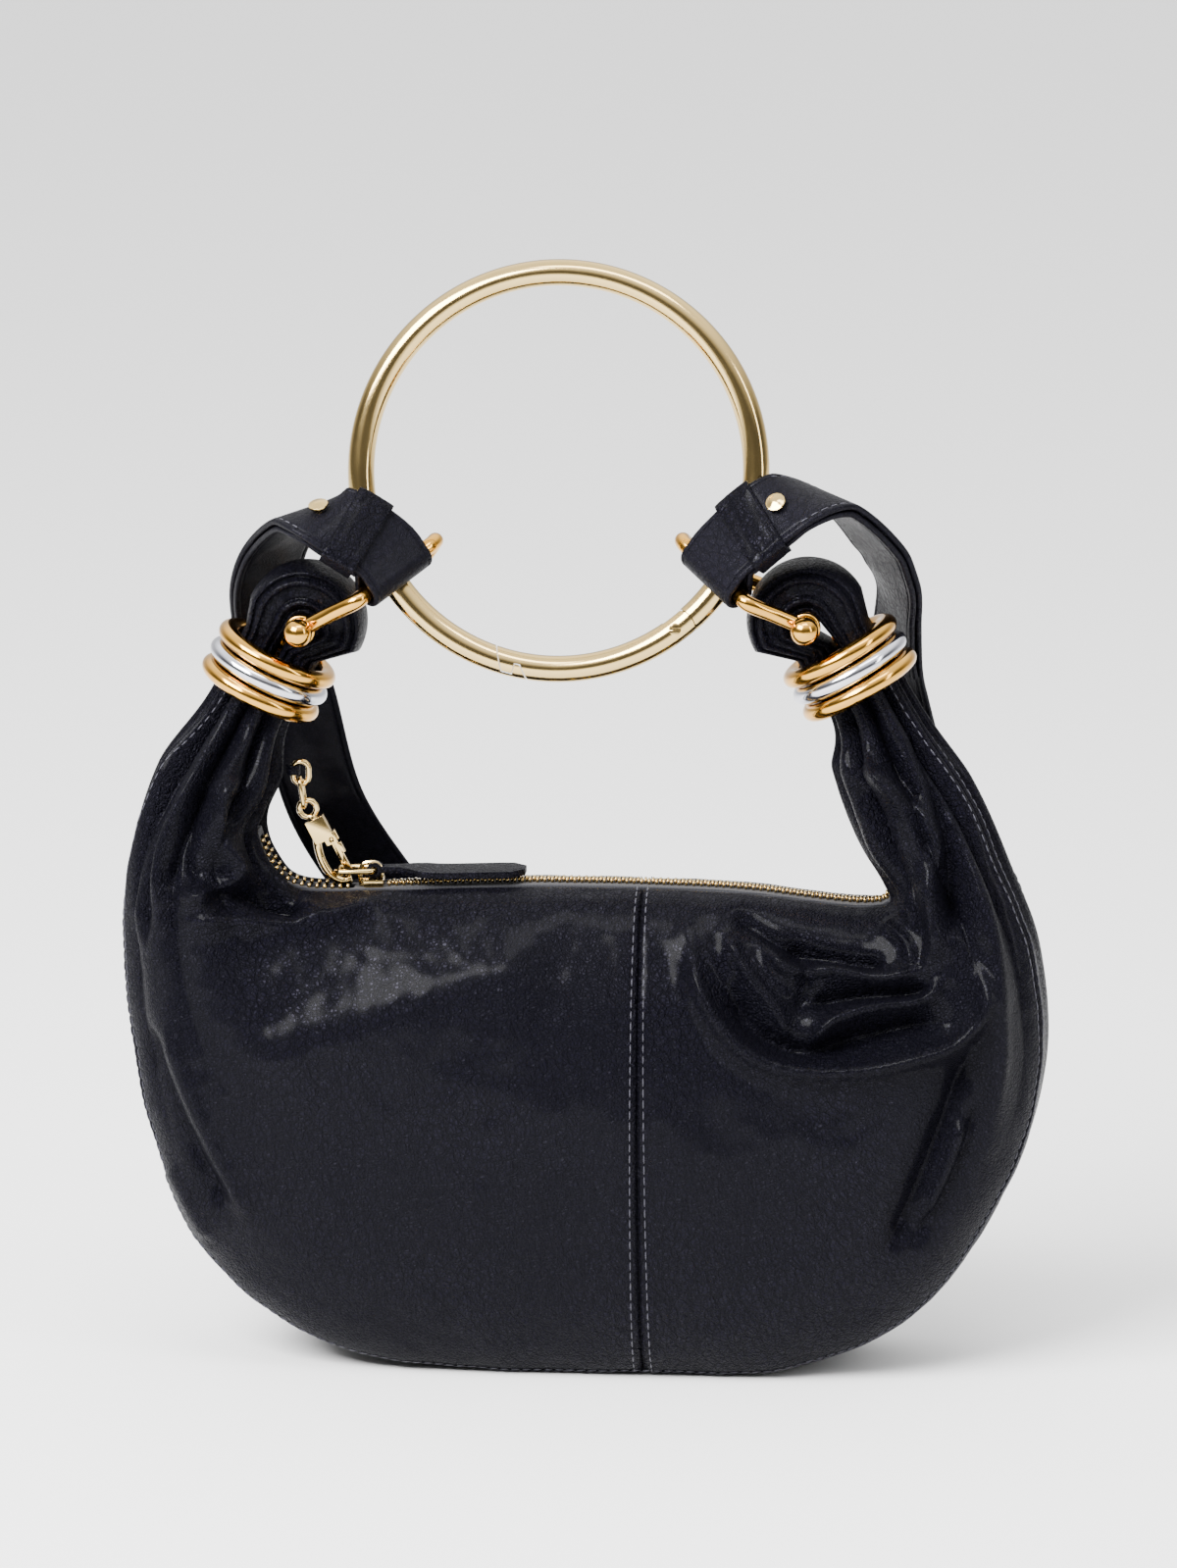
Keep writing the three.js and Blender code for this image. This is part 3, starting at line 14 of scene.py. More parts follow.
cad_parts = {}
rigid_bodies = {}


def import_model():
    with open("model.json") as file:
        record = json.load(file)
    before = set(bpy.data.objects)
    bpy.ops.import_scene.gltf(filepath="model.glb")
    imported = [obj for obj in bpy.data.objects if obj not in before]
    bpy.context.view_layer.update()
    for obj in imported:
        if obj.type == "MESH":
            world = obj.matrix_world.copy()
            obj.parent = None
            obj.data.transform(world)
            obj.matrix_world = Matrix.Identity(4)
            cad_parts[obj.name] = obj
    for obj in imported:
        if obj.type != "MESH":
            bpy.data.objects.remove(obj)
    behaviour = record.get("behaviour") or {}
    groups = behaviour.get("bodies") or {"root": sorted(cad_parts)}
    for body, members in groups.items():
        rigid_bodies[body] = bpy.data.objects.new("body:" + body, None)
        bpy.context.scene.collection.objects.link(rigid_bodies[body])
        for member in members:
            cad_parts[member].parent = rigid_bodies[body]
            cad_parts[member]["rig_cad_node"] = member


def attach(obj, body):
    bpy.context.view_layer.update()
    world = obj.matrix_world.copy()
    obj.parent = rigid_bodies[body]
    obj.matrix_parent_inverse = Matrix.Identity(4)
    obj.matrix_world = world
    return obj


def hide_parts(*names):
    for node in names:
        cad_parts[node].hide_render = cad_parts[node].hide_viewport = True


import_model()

LOG = logging.getLogger("ring_handle_bag")
MM = 0.001
Array = np.ndarray
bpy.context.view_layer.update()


class Body(Enum):
    """The rigid bodies of the frame."""

    BAG = "bag"
    GATE = "gate"
    LEVER = "lever"


class Side(Enum):
    """The face of the bag that a panel makes."""

    FRONT = -1
    BACK = 1


class Slot(Enum):
    """The record's material slots."""

    LEATHER = "leather"
    TAPE = "tape"
    GOLD = "gold"
    PALE_GOLD = "pale_gold"
    SILVER = "silver"


# ---- small vector and curve helpers


def vec(x: float, y: float, z: float) -> Array:
    """A point or direction in millimetres."""
    return np.array([x, y, z], float)


def unit(a: Array) -> Array:
    """The vectors of a at length 1."""
    return a / np.maximum(np.linalg.norm(a, axis=-1, keepdims=True), 1e-12)


def smooth(low: float, high: float, x: Array) -> Array:
    """0 at low, 1 at high and smooth between, whichever of the two is the larger."""
    t = np.clip((np.asarray(x, float) - low) / (high - low), 0, 1)
    return t * t * (3 - 2 * t)


def smooth_rows(values: Array, share: Array) -> Array:
    """Values at shares of the way along rows, smoothly through each row.

    Args:
        values: One value or vector a row.
        share: Where to read them, from 0 to 1, in any shape.

    Returns:
        The values there, in share's shape.
    """
    last = len(values) - 1
    at = np.clip(share, 0, 1) * last
    i = np.minimum(np.floor(at).astype(int), last - 1)
    t = at - i
    a, b, c, d = (values[np.clip(i + k, 0, last)] for k in (-1, 0, 1, 2))
    if values.ndim > 1:
        t = t[..., None]
    return b + 0.5 * t * (c - a + t * (2 * a - 5 * b + 4 * c - d + t * (3 * (b - c) + d - a)))


class Curve:
    """A smooth curve through points, spaced by the root of their distances."""

    def __init__(self, points: Sequence[Array]) -> None:
        """Prepares the curve through points or directions."""
        self.points = np.array(points, float)

    def at(self, share: float) -> Array:
        """The point at a share of the way, counted in spans."""
        pts = self.points
        spot = share * (len(pts) - 1)
        i = int(min(math.floor(spot), len(pts) - 2))
        w = spot - i
        p0 = pts[i - 1] if i > 0 else 2 * pts[0] - pts[1]
        p1, p2 = pts[i], pts[i + 1]
        p3 = pts[i + 2] if i + 2 < len(pts) else 2 * pts[-1] - pts[-2]
        gaps = [np.linalg.norm(b - a) ** 0.5 for a, b in ((p0, p1), (p1, p2), (p2, p3))]
        middle = gaps[1] if gaps[1] > 1e-4 else 1.0
        first = gaps[0] if gaps[0] > 1e-4 else middle
        last = gaps[2] if gaps[2] > 1e-4 else middle
        t1 = ((p1 - p0) / first - (p2 - p0) / (first + middle) + (p2 - p1) / middle) * middle
        t2 = ((p2 - p1) / middle - (p3 - p1) / (middle + last) + (p3 - p2) / last) * middle
        return p1 + t1 * w + (-3 * p1 + 3 * p2 - 2 * t1 - t2) * w**2 + (2 * p1 - 2 * p2 + t1 + t2) * w**3

    def even(self, count: int) -> Array:
        """The shares of count + 1 points spaced evenly by length."""
        fine = np.linspace(0, 1, 401)
        points = np.array([self.at(t) for t in fine])
        run = np.concatenate([[0], np.cumsum(np.linalg.norm(np.diff(points, axis=0), axis=1))])
        return np.interp(np.linspace(0, run[-1], count + 1), run, fine)

    def points_along(self, count: int) -> Array:
        """count + 1 points spaced evenly by length."""
        return np.array([self.at(t) for t in self.even(count)])


# ---- meshes


def new_object(name: str, points: Array, faces: Sequence[Sequence[int]], soft: bool = True) -> bpy.types.Object:
    """An object at the origin from points in millimetres, its faces turned outwards.

    Args:
        name: The piece's name.
        points: The vertices, in millimetres.
        faces: Indices of each face's corners.
        soft: Whether the faces are shaded smooth.

    Returns:
        The object, linked to the scene.
    """
    points = np.asarray(points, float)
    volume = 0.0
    for f in faces:
        a = points[f[0]]
        for k in range(1, len(f) - 1):
            volume += float(np.dot(a, np.cross(points[f[k]], points[f[k + 1]])))
    if volume < 0:
        faces = [list(reversed(f)) for f in faces]
    mesh = bpy.data.meshes.new(name)
    mesh.from_pydata((points * MM).tolist(), [], [list(map(int, f)) for f in faces])
    mesh.polygons.foreach_set("use_smooth", [soft] * len(mesh.polygons))
    mesh.update()
    obj = bpy.data.objects.new(name, mesh)
    bpy.context.scene.collection.objects.link(obj)
    return obj


def wall_faces(rows: int, cols: int, around: bool = False) -> list[list[int]]:
    """Faces of a closed wall from an outer and an inner grid of rows by cols points.

    Args:
        rows: Rows in each grid.
        cols: Columns in each grid.
        around: Whether the last column joins the first one, as in a sleeve.

    Returns:
        Faces over the outer grid, the inner grid and the rims.
    """
    def at(layer: int, i: int, j: int) -> int:
        return layer * rows * cols + i * cols + (j % cols)

    faces: list[list[int]] = []
    across = cols if around else cols - 1
    for i in range(rows - 1):
        for j in range(across):
            faces.append([at(0, i, j), at(0, i + 1, j), at(0, i + 1, j + 1), at(0, i, j + 1)])
            faces.append([at(1, i, j), at(1, i, j + 1), at(1, i + 1, j + 1), at(1, i + 1, j)])
        if not around:
            faces.append([at(0, i, 0), at(1, i, 0), at(1, i + 1, 0), at(0, i + 1, 0)])
            faces.append([at(0, i, cols - 1), at(0, i + 1, cols - 1), at(1, i + 1, cols - 1), at(1, i, cols - 1)])
    for j in range(across):
        faces.append([at(0, 0, j), at(0, 0, j + 1), at(1, 0, j + 1), at(1, 0, j)])
        faces.append([at(0, rows - 1, j), at(1, rows - 1, j), at(1, rows - 1, j + 1), at(0, rows - 1, j + 1)])
    return faces


def loft_faces(rings: int, sides: int, closed: bool = False) -> list[list[int]]:
    """Faces of a skin through rings of points, capped at both ends unless it is closed."""
    faces: list[list[int]] = []
    for k in range(rings if closed else rings - 1):
        m = (k + 1) % rings
        for i in range(sides):
            j = (i + 1) % sides
            faces.append([k * sides + i, k * sides + j, m * sides + j, m * sides + i])
    if not closed:
        faces.append([i for i in range(sides)][::-1])
        faces.append([(rings - 1) * sides + i for i in range(sides)])
    return faces


def tube_rings(path: Array, diameter: float, sides: int = 20, closed: bool = False) -> Array:
    """Rings of points round a path, carried along it without twist.

    Args:
        path: Points along the middle, in millimetres.
        diameter: The rod's diameter.
        sides: Points in a ring.
        closed: Whether the path's end joins its start.

    Returns:
        The ring points, one row of sides points for each path point.
    """
    n = len(path)
    if closed:
        tangents = unit(np.roll(path, -1, axis=0) - np.roll(path, 1, axis=0))
    else:
        tangents = unit(np.gradient(path, axis=0))
    start = vec(0, 1, 0) if abs(tangents[0][1]) < 0.9 else vec(1, 0, 0)
    side = unit(np.cross(tangents[0], start))
    angles = np.linspace(0, 2 * math.pi, sides, endpoint=False)
    rings = []
    for i in range(n):
        side = unit(side - tangents[i] * float(np.dot(side, tangents[i])))
        up = np.cross(tangents[i], side)
        rings.append(path[i] + (np.cos(angles)[:, None] * side + np.sin(angles)[:, None] * up) * diameter / 2)
    return np.array(rings)


class Shells:
    """Closed shells gathered into the mesh of one piece."""

    def __init__(self) -> None:
        """Starts with no shells."""
        self.points: list[Array] = []
        self.faces: list[list[int]] = []
        self.count = 0

    def add(self, points: Array, faces: Sequence[Sequence[int]]) -> "Shells":
        """Adds one closed shell, turned outwards, and returns the same gathering."""
        points = np.asarray(points, float).reshape(-1, 3)
        tris = [(f[0], f[k], f[k + 1]) for f in faces for k in range(1, len(f) - 1)]
        t = np.array(tris)
        volume = np.einsum("ij,ij->i", points[t[:, 0]], np.cross(points[t[:, 1]], points[t[:, 2]])).sum()
        turned = faces if volume >= 0 else [list(reversed(f)) for f in faces]
        self.faces += [[i + self.count for i in f] for f in turned]
        self.points.append(points)
        self.count += len(points)
        return self

    def rod(self, path: Array, diameter: float, sides: int = 20, closed: bool = False) -> "Shells":
        """Adds a round rod along a path."""
        rings = tube_rings(path, diameter, sides, closed)
        return self.add(rings, loft_faces(len(rings), sides, closed))

    def turned(self, centre: Array, axis: Array, profile: Sequence[tuple[float, float]], sides: int = 40) -> "Shells":
        """Adds a solid turned about an axis.

        Args:
            centre: A point on the axis.
            axis: The way along it.
            profile: Pairs of radius and distance along the axis, from one end to the other.
            sides: Points round it.

        Returns:
            The same gathering.
        """
        axis = unit(axis)
        helper = vec(0, 0, 1) if abs(axis[2]) < 0.9 else vec(1, 0, 0)
        a = unit(np.cross(axis, helper))
        b = np.cross(axis, a)
        angles = np.linspace(0, 2 * math.pi, sides, endpoint=False)
        around = np.cos(angles)[:, None] * a + np.sin(angles)[:, None] * b
        rings = np.array([centre + axis * along + around * max(r, 0.01) for r, along in profile])
        return self.add(rings, loft_faces(len(rings), sides))

    def ball(self, centre: Array, diameter: float, axis: Array) -> "Shells":
        """Adds a ball with its poles on an axis."""
        turns = np.linspace(-math.pi / 2, math.pi / 2, 21)
        r = diameter / 2
        return self.turned(centre, axis, [(r * math.cos(t), r * math.sin(t)) for t in turns], 36)

    def piece(self, name: str) -> bpy.types.Object:
        """The gathered shells as one object."""
        mesh = bpy.data.meshes.new(name)
        mesh.from_pydata((np.concatenate(self.points) * MM).tolist(), [], self.faces)
        mesh.polygons.foreach_set("use_smooth", [True] * len(mesh.polygons))
        mesh.update()
        obj = bpy.data.objects.new(name, mesh)
        bpy.context.scene.collection.objects.link(obj)
        return obj


def sharpen(obj: bpy.types.Object, degrees: float = 40) -> None:
    """Marks the edges that bend more than an angle as sharp, so that flats stay flat."""
    mesh = obj.data
    import bmesh

    bm = bmesh.new()
    bm.from_mesh(mesh)
    limit = math.radians(degrees)
    for e in bm.edges:
        e.smooth = not (len(e.link_faces) == 2 and e.calc_face_angle(0.0) > limit)
    for f in bm.faces:
        f.smooth = True
    bm.to_mesh(mesh)
    bm.free()


def baked(obj: bpy.types.Object, name: Optional[str] = None) -> bpy.types.Object:
    """The object's evaluated shape as a plain mesh, in place of the modifiers.

    Args:
        obj: The object whose modifiers are applied.
        name: A new name for the result, where it gets one.

    Returns:
        A new object without modifiers; the old one is removed.
    """
    graph = bpy.context.evaluated_depsgraph_get()
    mesh = bpy.data.meshes.new_from_object(obj.evaluated_get(graph), depsgraph=graph)
    wanted = name or obj.name
    obj.modifiers.clear()
    bpy.data.objects.remove(obj, do_unlink=True)
    mesh.name = wanted
    out = bpy.data.objects.new(wanted, mesh)
    bpy.context.scene.collection.objects.link(out)
    return out


def copied(node: str, name: str, bevel: float, segments: int = 2) -> bpy.types.Object:
    """A merged copy of a frame node's shape with its edges rounded.

    Args:
        node: The frame node to copy.
        name: The new piece's name.
        bevel: The width of the rounded edges, in millimetres; 0 leaves them as they are.
        segments: Steps across each rounded edge.

    Returns:
        The new piece, smooth except at its sharp edges.
    """
    import bmesh

    source = next(o for o in bpy.context.scene.objects if o.name == node or o.get("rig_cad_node") == node)
    bm = bmesh.new()
    bm.from_mesh(source.data)
    bmesh.ops.remove_doubles(bm, verts=bm.verts, dist=2e-6)
    bmesh.ops.dissolve_limit(bm, angle_limit=math.radians(1.5), verts=bm.verts, edges=bm.edges)
    mesh = bpy.data.meshes.new(name)
    bm.to_mesh(mesh)
    bm.free()
    obj = bpy.data.objects.new(name, mesh)
    bpy.context.scene.collection.objects.link(obj)
    if bevel:
        mod = obj.modifiers.new("rounding", "BEVEL")
        mod.width = bevel * MM
        mod.segments = segments
        mod.limit_method = "ANGLE"
        mod.angle_limit = math.radians(50)
        mod.use_clamp_overlap = True
        obj = baked(obj)
    sharpen(obj, 50)
    return obj


# ---- finishes


def colour(code: str) -> tuple[float, float, float, float]:
    """The linear colour of an sRGB hex code."""
    parts = [int(code.lstrip("#")[i : i + 2], 16) / 255 for i in (0, 2, 4)]
    linear = [c / 12.92 if c <= 0.04045 else ((c + 0.055) / 1.055) ** 2.4 for c in parts]
    return (*linear, 1.0)


def add_node(tree: bpy.types.NodeTree, kind: str, inputs: Optional[dict] = None, **settings) -> bpy.types.Node:
    """Adds a node, sets its properties, and links or sets its inputs.

    Args:
        tree: The node tree.
        kind: The node's type name.
        inputs: Socket name or index to a value or to an output to link.
        settings: The node's own properties.

    Returns:
        The new node.
    """
    node = tree.nodes.new(kind)
    for name, value in settings.items():
        setattr(node, name, value)
    for key, value in (inputs or {}).items():
        if isinstance(value, bpy.types.NodeSocket):
            tree.links.new(value, node.inputs[key])
        else:
            node.inputs[key].default_value = value
    return node


def start_material(name: str) -> tuple[bpy.types.Material, bpy.types.NodeTree, bpy.types.Node, bpy.types.NodeSocket]:
    """A new material, its tree, its shader and the object coordinates."""
    material = bpy.data.materials.new(name)
    material.use_nodes = True
    tree = material.node_tree
    tree.nodes.clear()
    shader = add_node(tree, "ShaderNodeBsdfPrincipled")
    out = add_node(tree, "ShaderNodeOutputMaterial")
    tree.links.new(shader.outputs[0], out.inputs["Surface"])
    place = add_node(tree, "ShaderNodeTexCoord").outputs["Object"]
    return material, tree, shader, place


def math_node(tree: bpy.types.NodeTree, operation: str, a: object, b: object = 0.0) -> bpy.types.NodeSocket:
    """The output of a Math node on two values or sockets."""
    return add_node(tree, "ShaderNodeMath", {0: a, 1: b}, operation=operation).outputs[0]


@dataclass(frozen=True)
class Leather:
    """Glossy leather with a crinkled grain, sizes in millimetres."""

    name: str
    # low is the painted shade in the grain's creases, high the painted highlight on the pebble tops
    low: str = "#030306"
    high: str = "#0b0a12"
    grain: float = 1.15
    crease: float = 3.1
    roll: float = 17.0
    depth: float = 0.75
    roughness: float = 0.35

    def make(self) -> bpy.types.Material:
        """Builds the material.

        Returns:
            A material with pebbled grain, fine creases and slow rolls in its bump, and gloss
            that follows them. Its colour is painted shade and highlight: darker in the
            grain's creases and lighter on the pebble tops.
        """
        material, tree, shader, place = start_material(self.name)
        warp = add_node(
            tree, "ShaderNodeTexNoise", {"Vector": place, "Scale": 1 / (3.4 * MM), "Detail": 3.0, "Roughness": 0.55}
        )
        shift = add_node(
            tree,
            "ShaderNodeVectorMath",
            {0: warp.outputs["Color"], 1: (1.1 * MM, 1.1 * MM, 1.1 * MM)},
            operation="MULTIPLY",
        )
        spot = add_node(tree, "ShaderNodeVectorMath", {0: place, 1: shift.outputs[0]}, operation="ADD").outputs[0]
        cells = add_node(
            tree, "ShaderNodeTexVoronoi", {"Vector": spot, "Scale": 1 / (self.grain * MM)}, feature="DISTANCE_TO_EDGE"
        )
        pebble = add_node(
            tree,
            "ShaderNodeMapRange",
            {"Value": cells.outputs["Distance"], "From Max": 0.22},
            interpolation_type="SMOOTHSTEP",
        )
        wide_warp = add_node(
            tree, "ShaderNodeTexNoise", {"Vector": place, "Scale": 1 / (9 * MM), "Detail": 4.0, "Roughness": 0.6}
        )
        wide_shift = add_node(
            tree,
            "ShaderNodeVectorMath",
            {0: wide_warp.outputs["Color"], 1: (7 * MM, 7 * MM, 7 * MM)},
            operation="MULTIPLY",
        )
        wide_spot = add_node(tree, "ShaderNodeVectorMath", {0: place, 1: wide_shift.outputs[0]}, operation="ADD")
        lines = add_node(
            tree,
            "ShaderNodeTexVoronoi",
            {"Vector": wide_spot.outputs[0], "Scale": 1 / (self.crease * MM)},
            feature="DISTANCE_TO_EDGE",
        )
        crinkle = add_node(
            tree,
            "ShaderNodeMapRange",
            {"Value": lines.outputs["Distance"], "From Max": 0.13},
            interpolation_type="SMOOTHSTEP",
        )
        rolls = add_node(
            tree,
            "ShaderNodeTexNoise",
            {"Vector": place, "Scale": 1 / (self.roll * MM), "Detail": 3.0, "Roughness": 0.5, "Distortion": 0.6},
        )
        patches = add_node(tree, "ShaderNodeTexNoise", {"Vector": place, "Scale": 1 / (46 * MM), "Detail": 1.0})
        strength = add_node(
            tree,
            "ShaderNodeMapRange",
            {"Value": patches.outputs["Fac"], "From Min": 0.36, "From Max": 0.64, "To Min": 0.35, "To Max": 1.0},
        ).outputs[0]
        fine = math_node(tree, "MULTIPLY", pebble.outputs[0], 0.46)
        lined = math_node(tree, "MULTIPLY", math_node(tree, "MULTIPLY", crinkle.outputs[0], strength), 0.72)
        slow = math_node(tree, "MULTIPLY", rolls.outputs["Fac"], 2.0)
        height = math_node(tree, "ADD", math_node(tree, "ADD", fine, lined), slow)
        bump = add_node(
            tree, "ShaderNodeBump", {"Height": height, "Distance": self.depth * MM, "Strength": 1.0}
        )
        # painted shade and highlight: this mask makes the colour darker in the grain's creases and lighter on the
        # pebble tops; it also sets the gloss
        grain_and_painted_shade = math_node(tree, "MULTIPLY", math_node(tree, "MULTIPLY", crinkle.outputs[0], pebble.outputs[0]), strength)
        shade = add_node(
            tree,
            "ShaderNodeMix",
            {"Factor": grain_and_painted_shade, 6: colour(self.low), 7: colour(self.high)},
            data_type="RGBA",
        )
        gloss = add_node(
            tree,
            "ShaderNodeMapRange",
            {"Value": grain_and_painted_shade, "To Min": self.roughness + 0.16, "To Max": self.roughness - 0.03},
        )
        tree.links.new(shade.outputs[2], shader.inputs["Base Color"])
        tree.links.new(gloss.outputs[0], shader.inputs["Roughness"])
        tree.links.new(bump.outputs[0], shader.inputs["Normal"])
        shader.inputs["Specular IOR Level"].default_value = 0.068
        shader.inputs["Specular Tint"].default_value = colour("#e6e2ff")
        shader.inputs["Coat Weight"].default_value = 0.04
        shader.inputs["Coat Roughness"].default_value = 0.16
        return material


@dataclass(frozen=True)
class Metal:
    """Polished plated metal with faint handling marks."""

    name: str
    base: str
    roughness: float = 0.13

    def make(self) -> bpy.types.Material:
        """Builds the material.

        Returns:
            A metal whose gloss varies a little in patches and fine scratches.
        """
        material, tree, shader, place = start_material(self.name)
        patches = add_node(tree, "ShaderNodeTexNoise", {"Vector": place, "Scale": 1 / (14 * MM), "Detail": 3.0})
        marks = add_node(
            tree,
            "ShaderNodeTexNoise",
            {"Vector": place, "Scale": 1 / (0.8 * MM), "Detail": 2.0, "Distortion": 1.2},
        )
        gloss = add_node(
            tree,
            "ShaderNodeMapRange",
            {"Value": patches.outputs["Fac"], "To Min": self.roughness - 0.04, "To Max": self.roughness + 0.07},
        )
        bump = add_node(
            tree, "ShaderNodeBump", {"Height": marks.outputs["Fac"], "Distance": 0.012 * MM, "Strength": 0.5}
        )
        dim = tuple(0.9 * c for c in colour(self.base)[:3]) + (1.0,)
        shade = add_node(
            tree,
            "ShaderNodeMix",
            {"Factor": patches.outputs["Fac"], 6: dim, 7: colour(self.base)},
            data_type="RGBA",
        )
        tree.links.new(shade.outputs[2], shader.inputs["Base Color"])
        tree.links.new(gloss.outputs[0], shader.inputs["Roughness"])
        tree.links.new(bump.outputs[0], shader.inputs["Normal"])
        shader.inputs["Metallic"].default_value = 1.0
        return material


@dataclass(frozen=True)
class Woven:
    """Woven zip tape or sewing thread, with its yarns' pitch in millimetres."""

    name: str
    base: str
    pitch: float
    roughness: float = 0.75

    def make(self) -> bpy.types.Material:
        """Builds the material.

        Returns:
            A matt material with crossing ribs, whose colour is painted lighter on the ribs' tops
            and darker between them, as painted highlight and shade.
        """
        material, tree, shader, place = start_material(self.name)
        ribs = [
            add_node(
                tree,
                "ShaderNodeTexWave",
                {"Vector": place, "Scale": 1 / (self.pitch * MM) / 6.283, "Distortion": 0.6, "Detail": 1.0},
                wave_type="BANDS",
                bands_direction=way,
            ).outputs["Fac"]
            for way in ("X", "Y", "Z")
        ]
        height = math_node(tree, "ADD", math_node(tree, "ADD", ribs[0], ribs[1]), ribs[2])
        bump = add_node(tree, "ShaderNodeBump", {"Height": height, "Distance": 0.06 * MM, "Strength": 0.8})
        # painted highlight and shade: the colour follows the rib height, lighter on the raised ribs and darker between
        # them
        bright = tuple(min(1.6 * c, 1.0) for c in colour(self.base)[:3]) + (1.0,)
        shade = add_node(
            tree,
            "ShaderNodeMix",
            {"Factor": math_node(tree, "MULTIPLY", height, 0.33), 6: colour(self.base), 7: bright},
            data_type="RGBA",
        )
        tree.links.new(shade.outputs[2], shader.inputs["Base Color"])
        tree.links.new(bump.outputs[0], shader.inputs["Normal"])
        shader.inputs["Roughness"].default_value = self.roughness
        shader.inputs["Sheen Weight"].default_value = 0.15
        return material


# both leathers paint shade into the grain's creases and a highlight onto the pebble tops
BODY_LEATHER = Leather("body leather").make()
STRAP_LEATHER = Leather("strap leather", low="#050508", high="#0f0e15", grain=0.8, crease=3.0, depth=0.22).make()
YELLOW_GOLD = Metal("yellow gold plate", "#d6a045").make()
PALE_GOLD = Metal("pale gold plate", "#cfb275", 0.11).make()
SILVER = Metal("silver plate", "#cfcfd8", 0.12).make()
TAPE = Woven("zip tape", "#15151b", 0.5).make()
THREAD = Woven("navy thread", "#23222d", 0.35, 0.6).make()


def dress(
    obj: bpy.types.Object, material: bpy.types.Material, nodes: Sequence[str] = (), body: Body = Body.BAG
) -> bpy.types.Object:
    """Gives a piece its finish and its body, and hides the frame nodes that it stands for.

    Args:
        obj: The piece.
        material: Its finish.
        nodes: Frame nodes that the piece replaces.
        body: The body that it rides on.

    Returns:
        The piece.
    """
    obj.data.materials.clear()
    obj.data.materials.append(material)
    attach(obj, body.value)
    if nodes:
        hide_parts(*nodes)
    LOG.info("%s: %d faces on %s", obj.name, len(obj.data.polygons), body.value)
    return obj


# ---- rows that repeat along a line


def socket_id(tree: bpy.types.NodeTree, name: str) -> str:
    """The identifier of a tree's input of that name."""
    return next(i.identifier for i in tree.interface.items_tree if i.name == name and i.in_out == "INPUT")


def row_tree(name: str, shape: Callable[[bpy.types.NodeTree, bpy.types.Node], bpy.types.NodeSocket]) -> bpy.types.NodeTree:
    """A Geometry Nodes tree that sets copies of a shape along a line.

    Args:
        name: The tree's name.
        shape: Builds the shape's nodes from the tree and its input node.

    Returns:
        The tree, with inputs for the line, pitch, length, width, height, stagger and finish.
    """
    tree = bpy.data.node_groups.new(name, "GeometryNodeTree")
    tree.interface.new_socket("Geometry", in_out="INPUT", socket_type="NodeSocketGeometry")
    for label in ("Pitch", "Length", "Width", "Height", "Stagger"):
        tree.interface.new_socket(label, in_out="INPUT", socket_type="NodeSocketFloat")
    tree.interface.new_socket("Finish", in_out="INPUT", socket_type="NodeSocketMaterial")
    tree.interface.new_socket("Geometry", in_out="OUTPUT", socket_type="NodeSocketGeometry")
    entry = tree.nodes.new("NodeGroupInput")
    line = add_node(tree, "GeometryNodeMeshToCurve", {"Mesh": entry.outputs["Geometry"]})
    spaced = add_node(
        tree,
        "GeometryNodeResampleCurve",
        {"Curve": line.outputs[0], "Length": entry.outputs["Pitch"]},
        mode="LENGTH",
    )
    index = add_node(tree, "GeometryNodeInputIndex")
    odd = add_node(tree, "ShaderNodeMath", {0: index.outputs[0], 1: 2.0}, operation="MODULO")
    sign = add_node(tree, "ShaderNodeMath", {0: odd.outputs[0], 1: 2.0, 2: -1.0}, operation="MULTIPLY_ADD")
    shift = add_node(tree, "ShaderNodeMath", {0: sign.outputs[0], 1: entry.outputs["Stagger"]}, operation="MULTIPLY")
    offset = add_node(tree, "ShaderNodeCombineXYZ", {"Y": shift.outputs[0]})
    tangent = add_node(tree, "GeometryNodeInputTangent")
    turn = add_node(tree, "FunctionNodeAlignRotationToVector", {"Vector": tangent.outputs[0]}, axis="X")
    turn.pivot_axis = "Y" if name == "zip teeth" else "AUTO"
    kept = add_node(
        tree,
        "GeometryNodeStoreNamedAttribute",
        {"Geometry": spaced.outputs[0], "Name": "heading", "Value": turn.outputs[0]},
        data_type="QUATERNION",
        domain="POINT",
    )
    moved = add_node(tree, "GeometryNodeSetPosition", {"Geometry": kept.outputs[0], "Offset": offset.outputs[0]})
    heading = add_node(tree, "GeometryNodeInputNamedAttribute", {"Name": "heading"}, data_type="QUATERNION")
    placed = add_node(
        tree,
        "GeometryNodeInstanceOnPoints",
        {"Points": moved.outputs[0], "Instance": shape(tree, entry), "Rotation": heading.outputs[0]},
    )
    solid = add_node(tree, "GeometryNodeRealizeInstances", {"Geometry": placed.outputs[0]})
    finished = add_node(
        tree, "GeometryNodeSetMaterial", {"Geometry": solid.outputs[0], "Material": entry.outputs["Finish"]}
    )
    leave = tree.nodes.new("NodeGroupOutput")
    tree.links.new(finished.outputs[0], leave.inputs[0])
    return tree


def stitch_shape(tree: bpy.types.NodeTree, entry: bpy.types.Node) -> bpy.types.NodeSocket:
    """One stitch: a slim round body along X."""
    sphere = add_node(tree, "GeometryNodeMeshUVSphere", {"Segments": 8, "Rings": 5, "Radius": 0.5})
    size = add_node(
        tree,
        "ShaderNodeCombineXYZ",
        {"X": entry.outputs["Length"], "Y": entry.outputs["Width"], "Z": entry.outputs["Height"]},
    )
    scaled = add_node(tree, "GeometryNodeTransform", {"Geometry": sphere.outputs[0], "Scale": size.outputs[0]})
    return add_node(tree, "GeometryNodeSetShadeSmooth", {"Geometry": scaled.outputs[0]}).outputs[0]


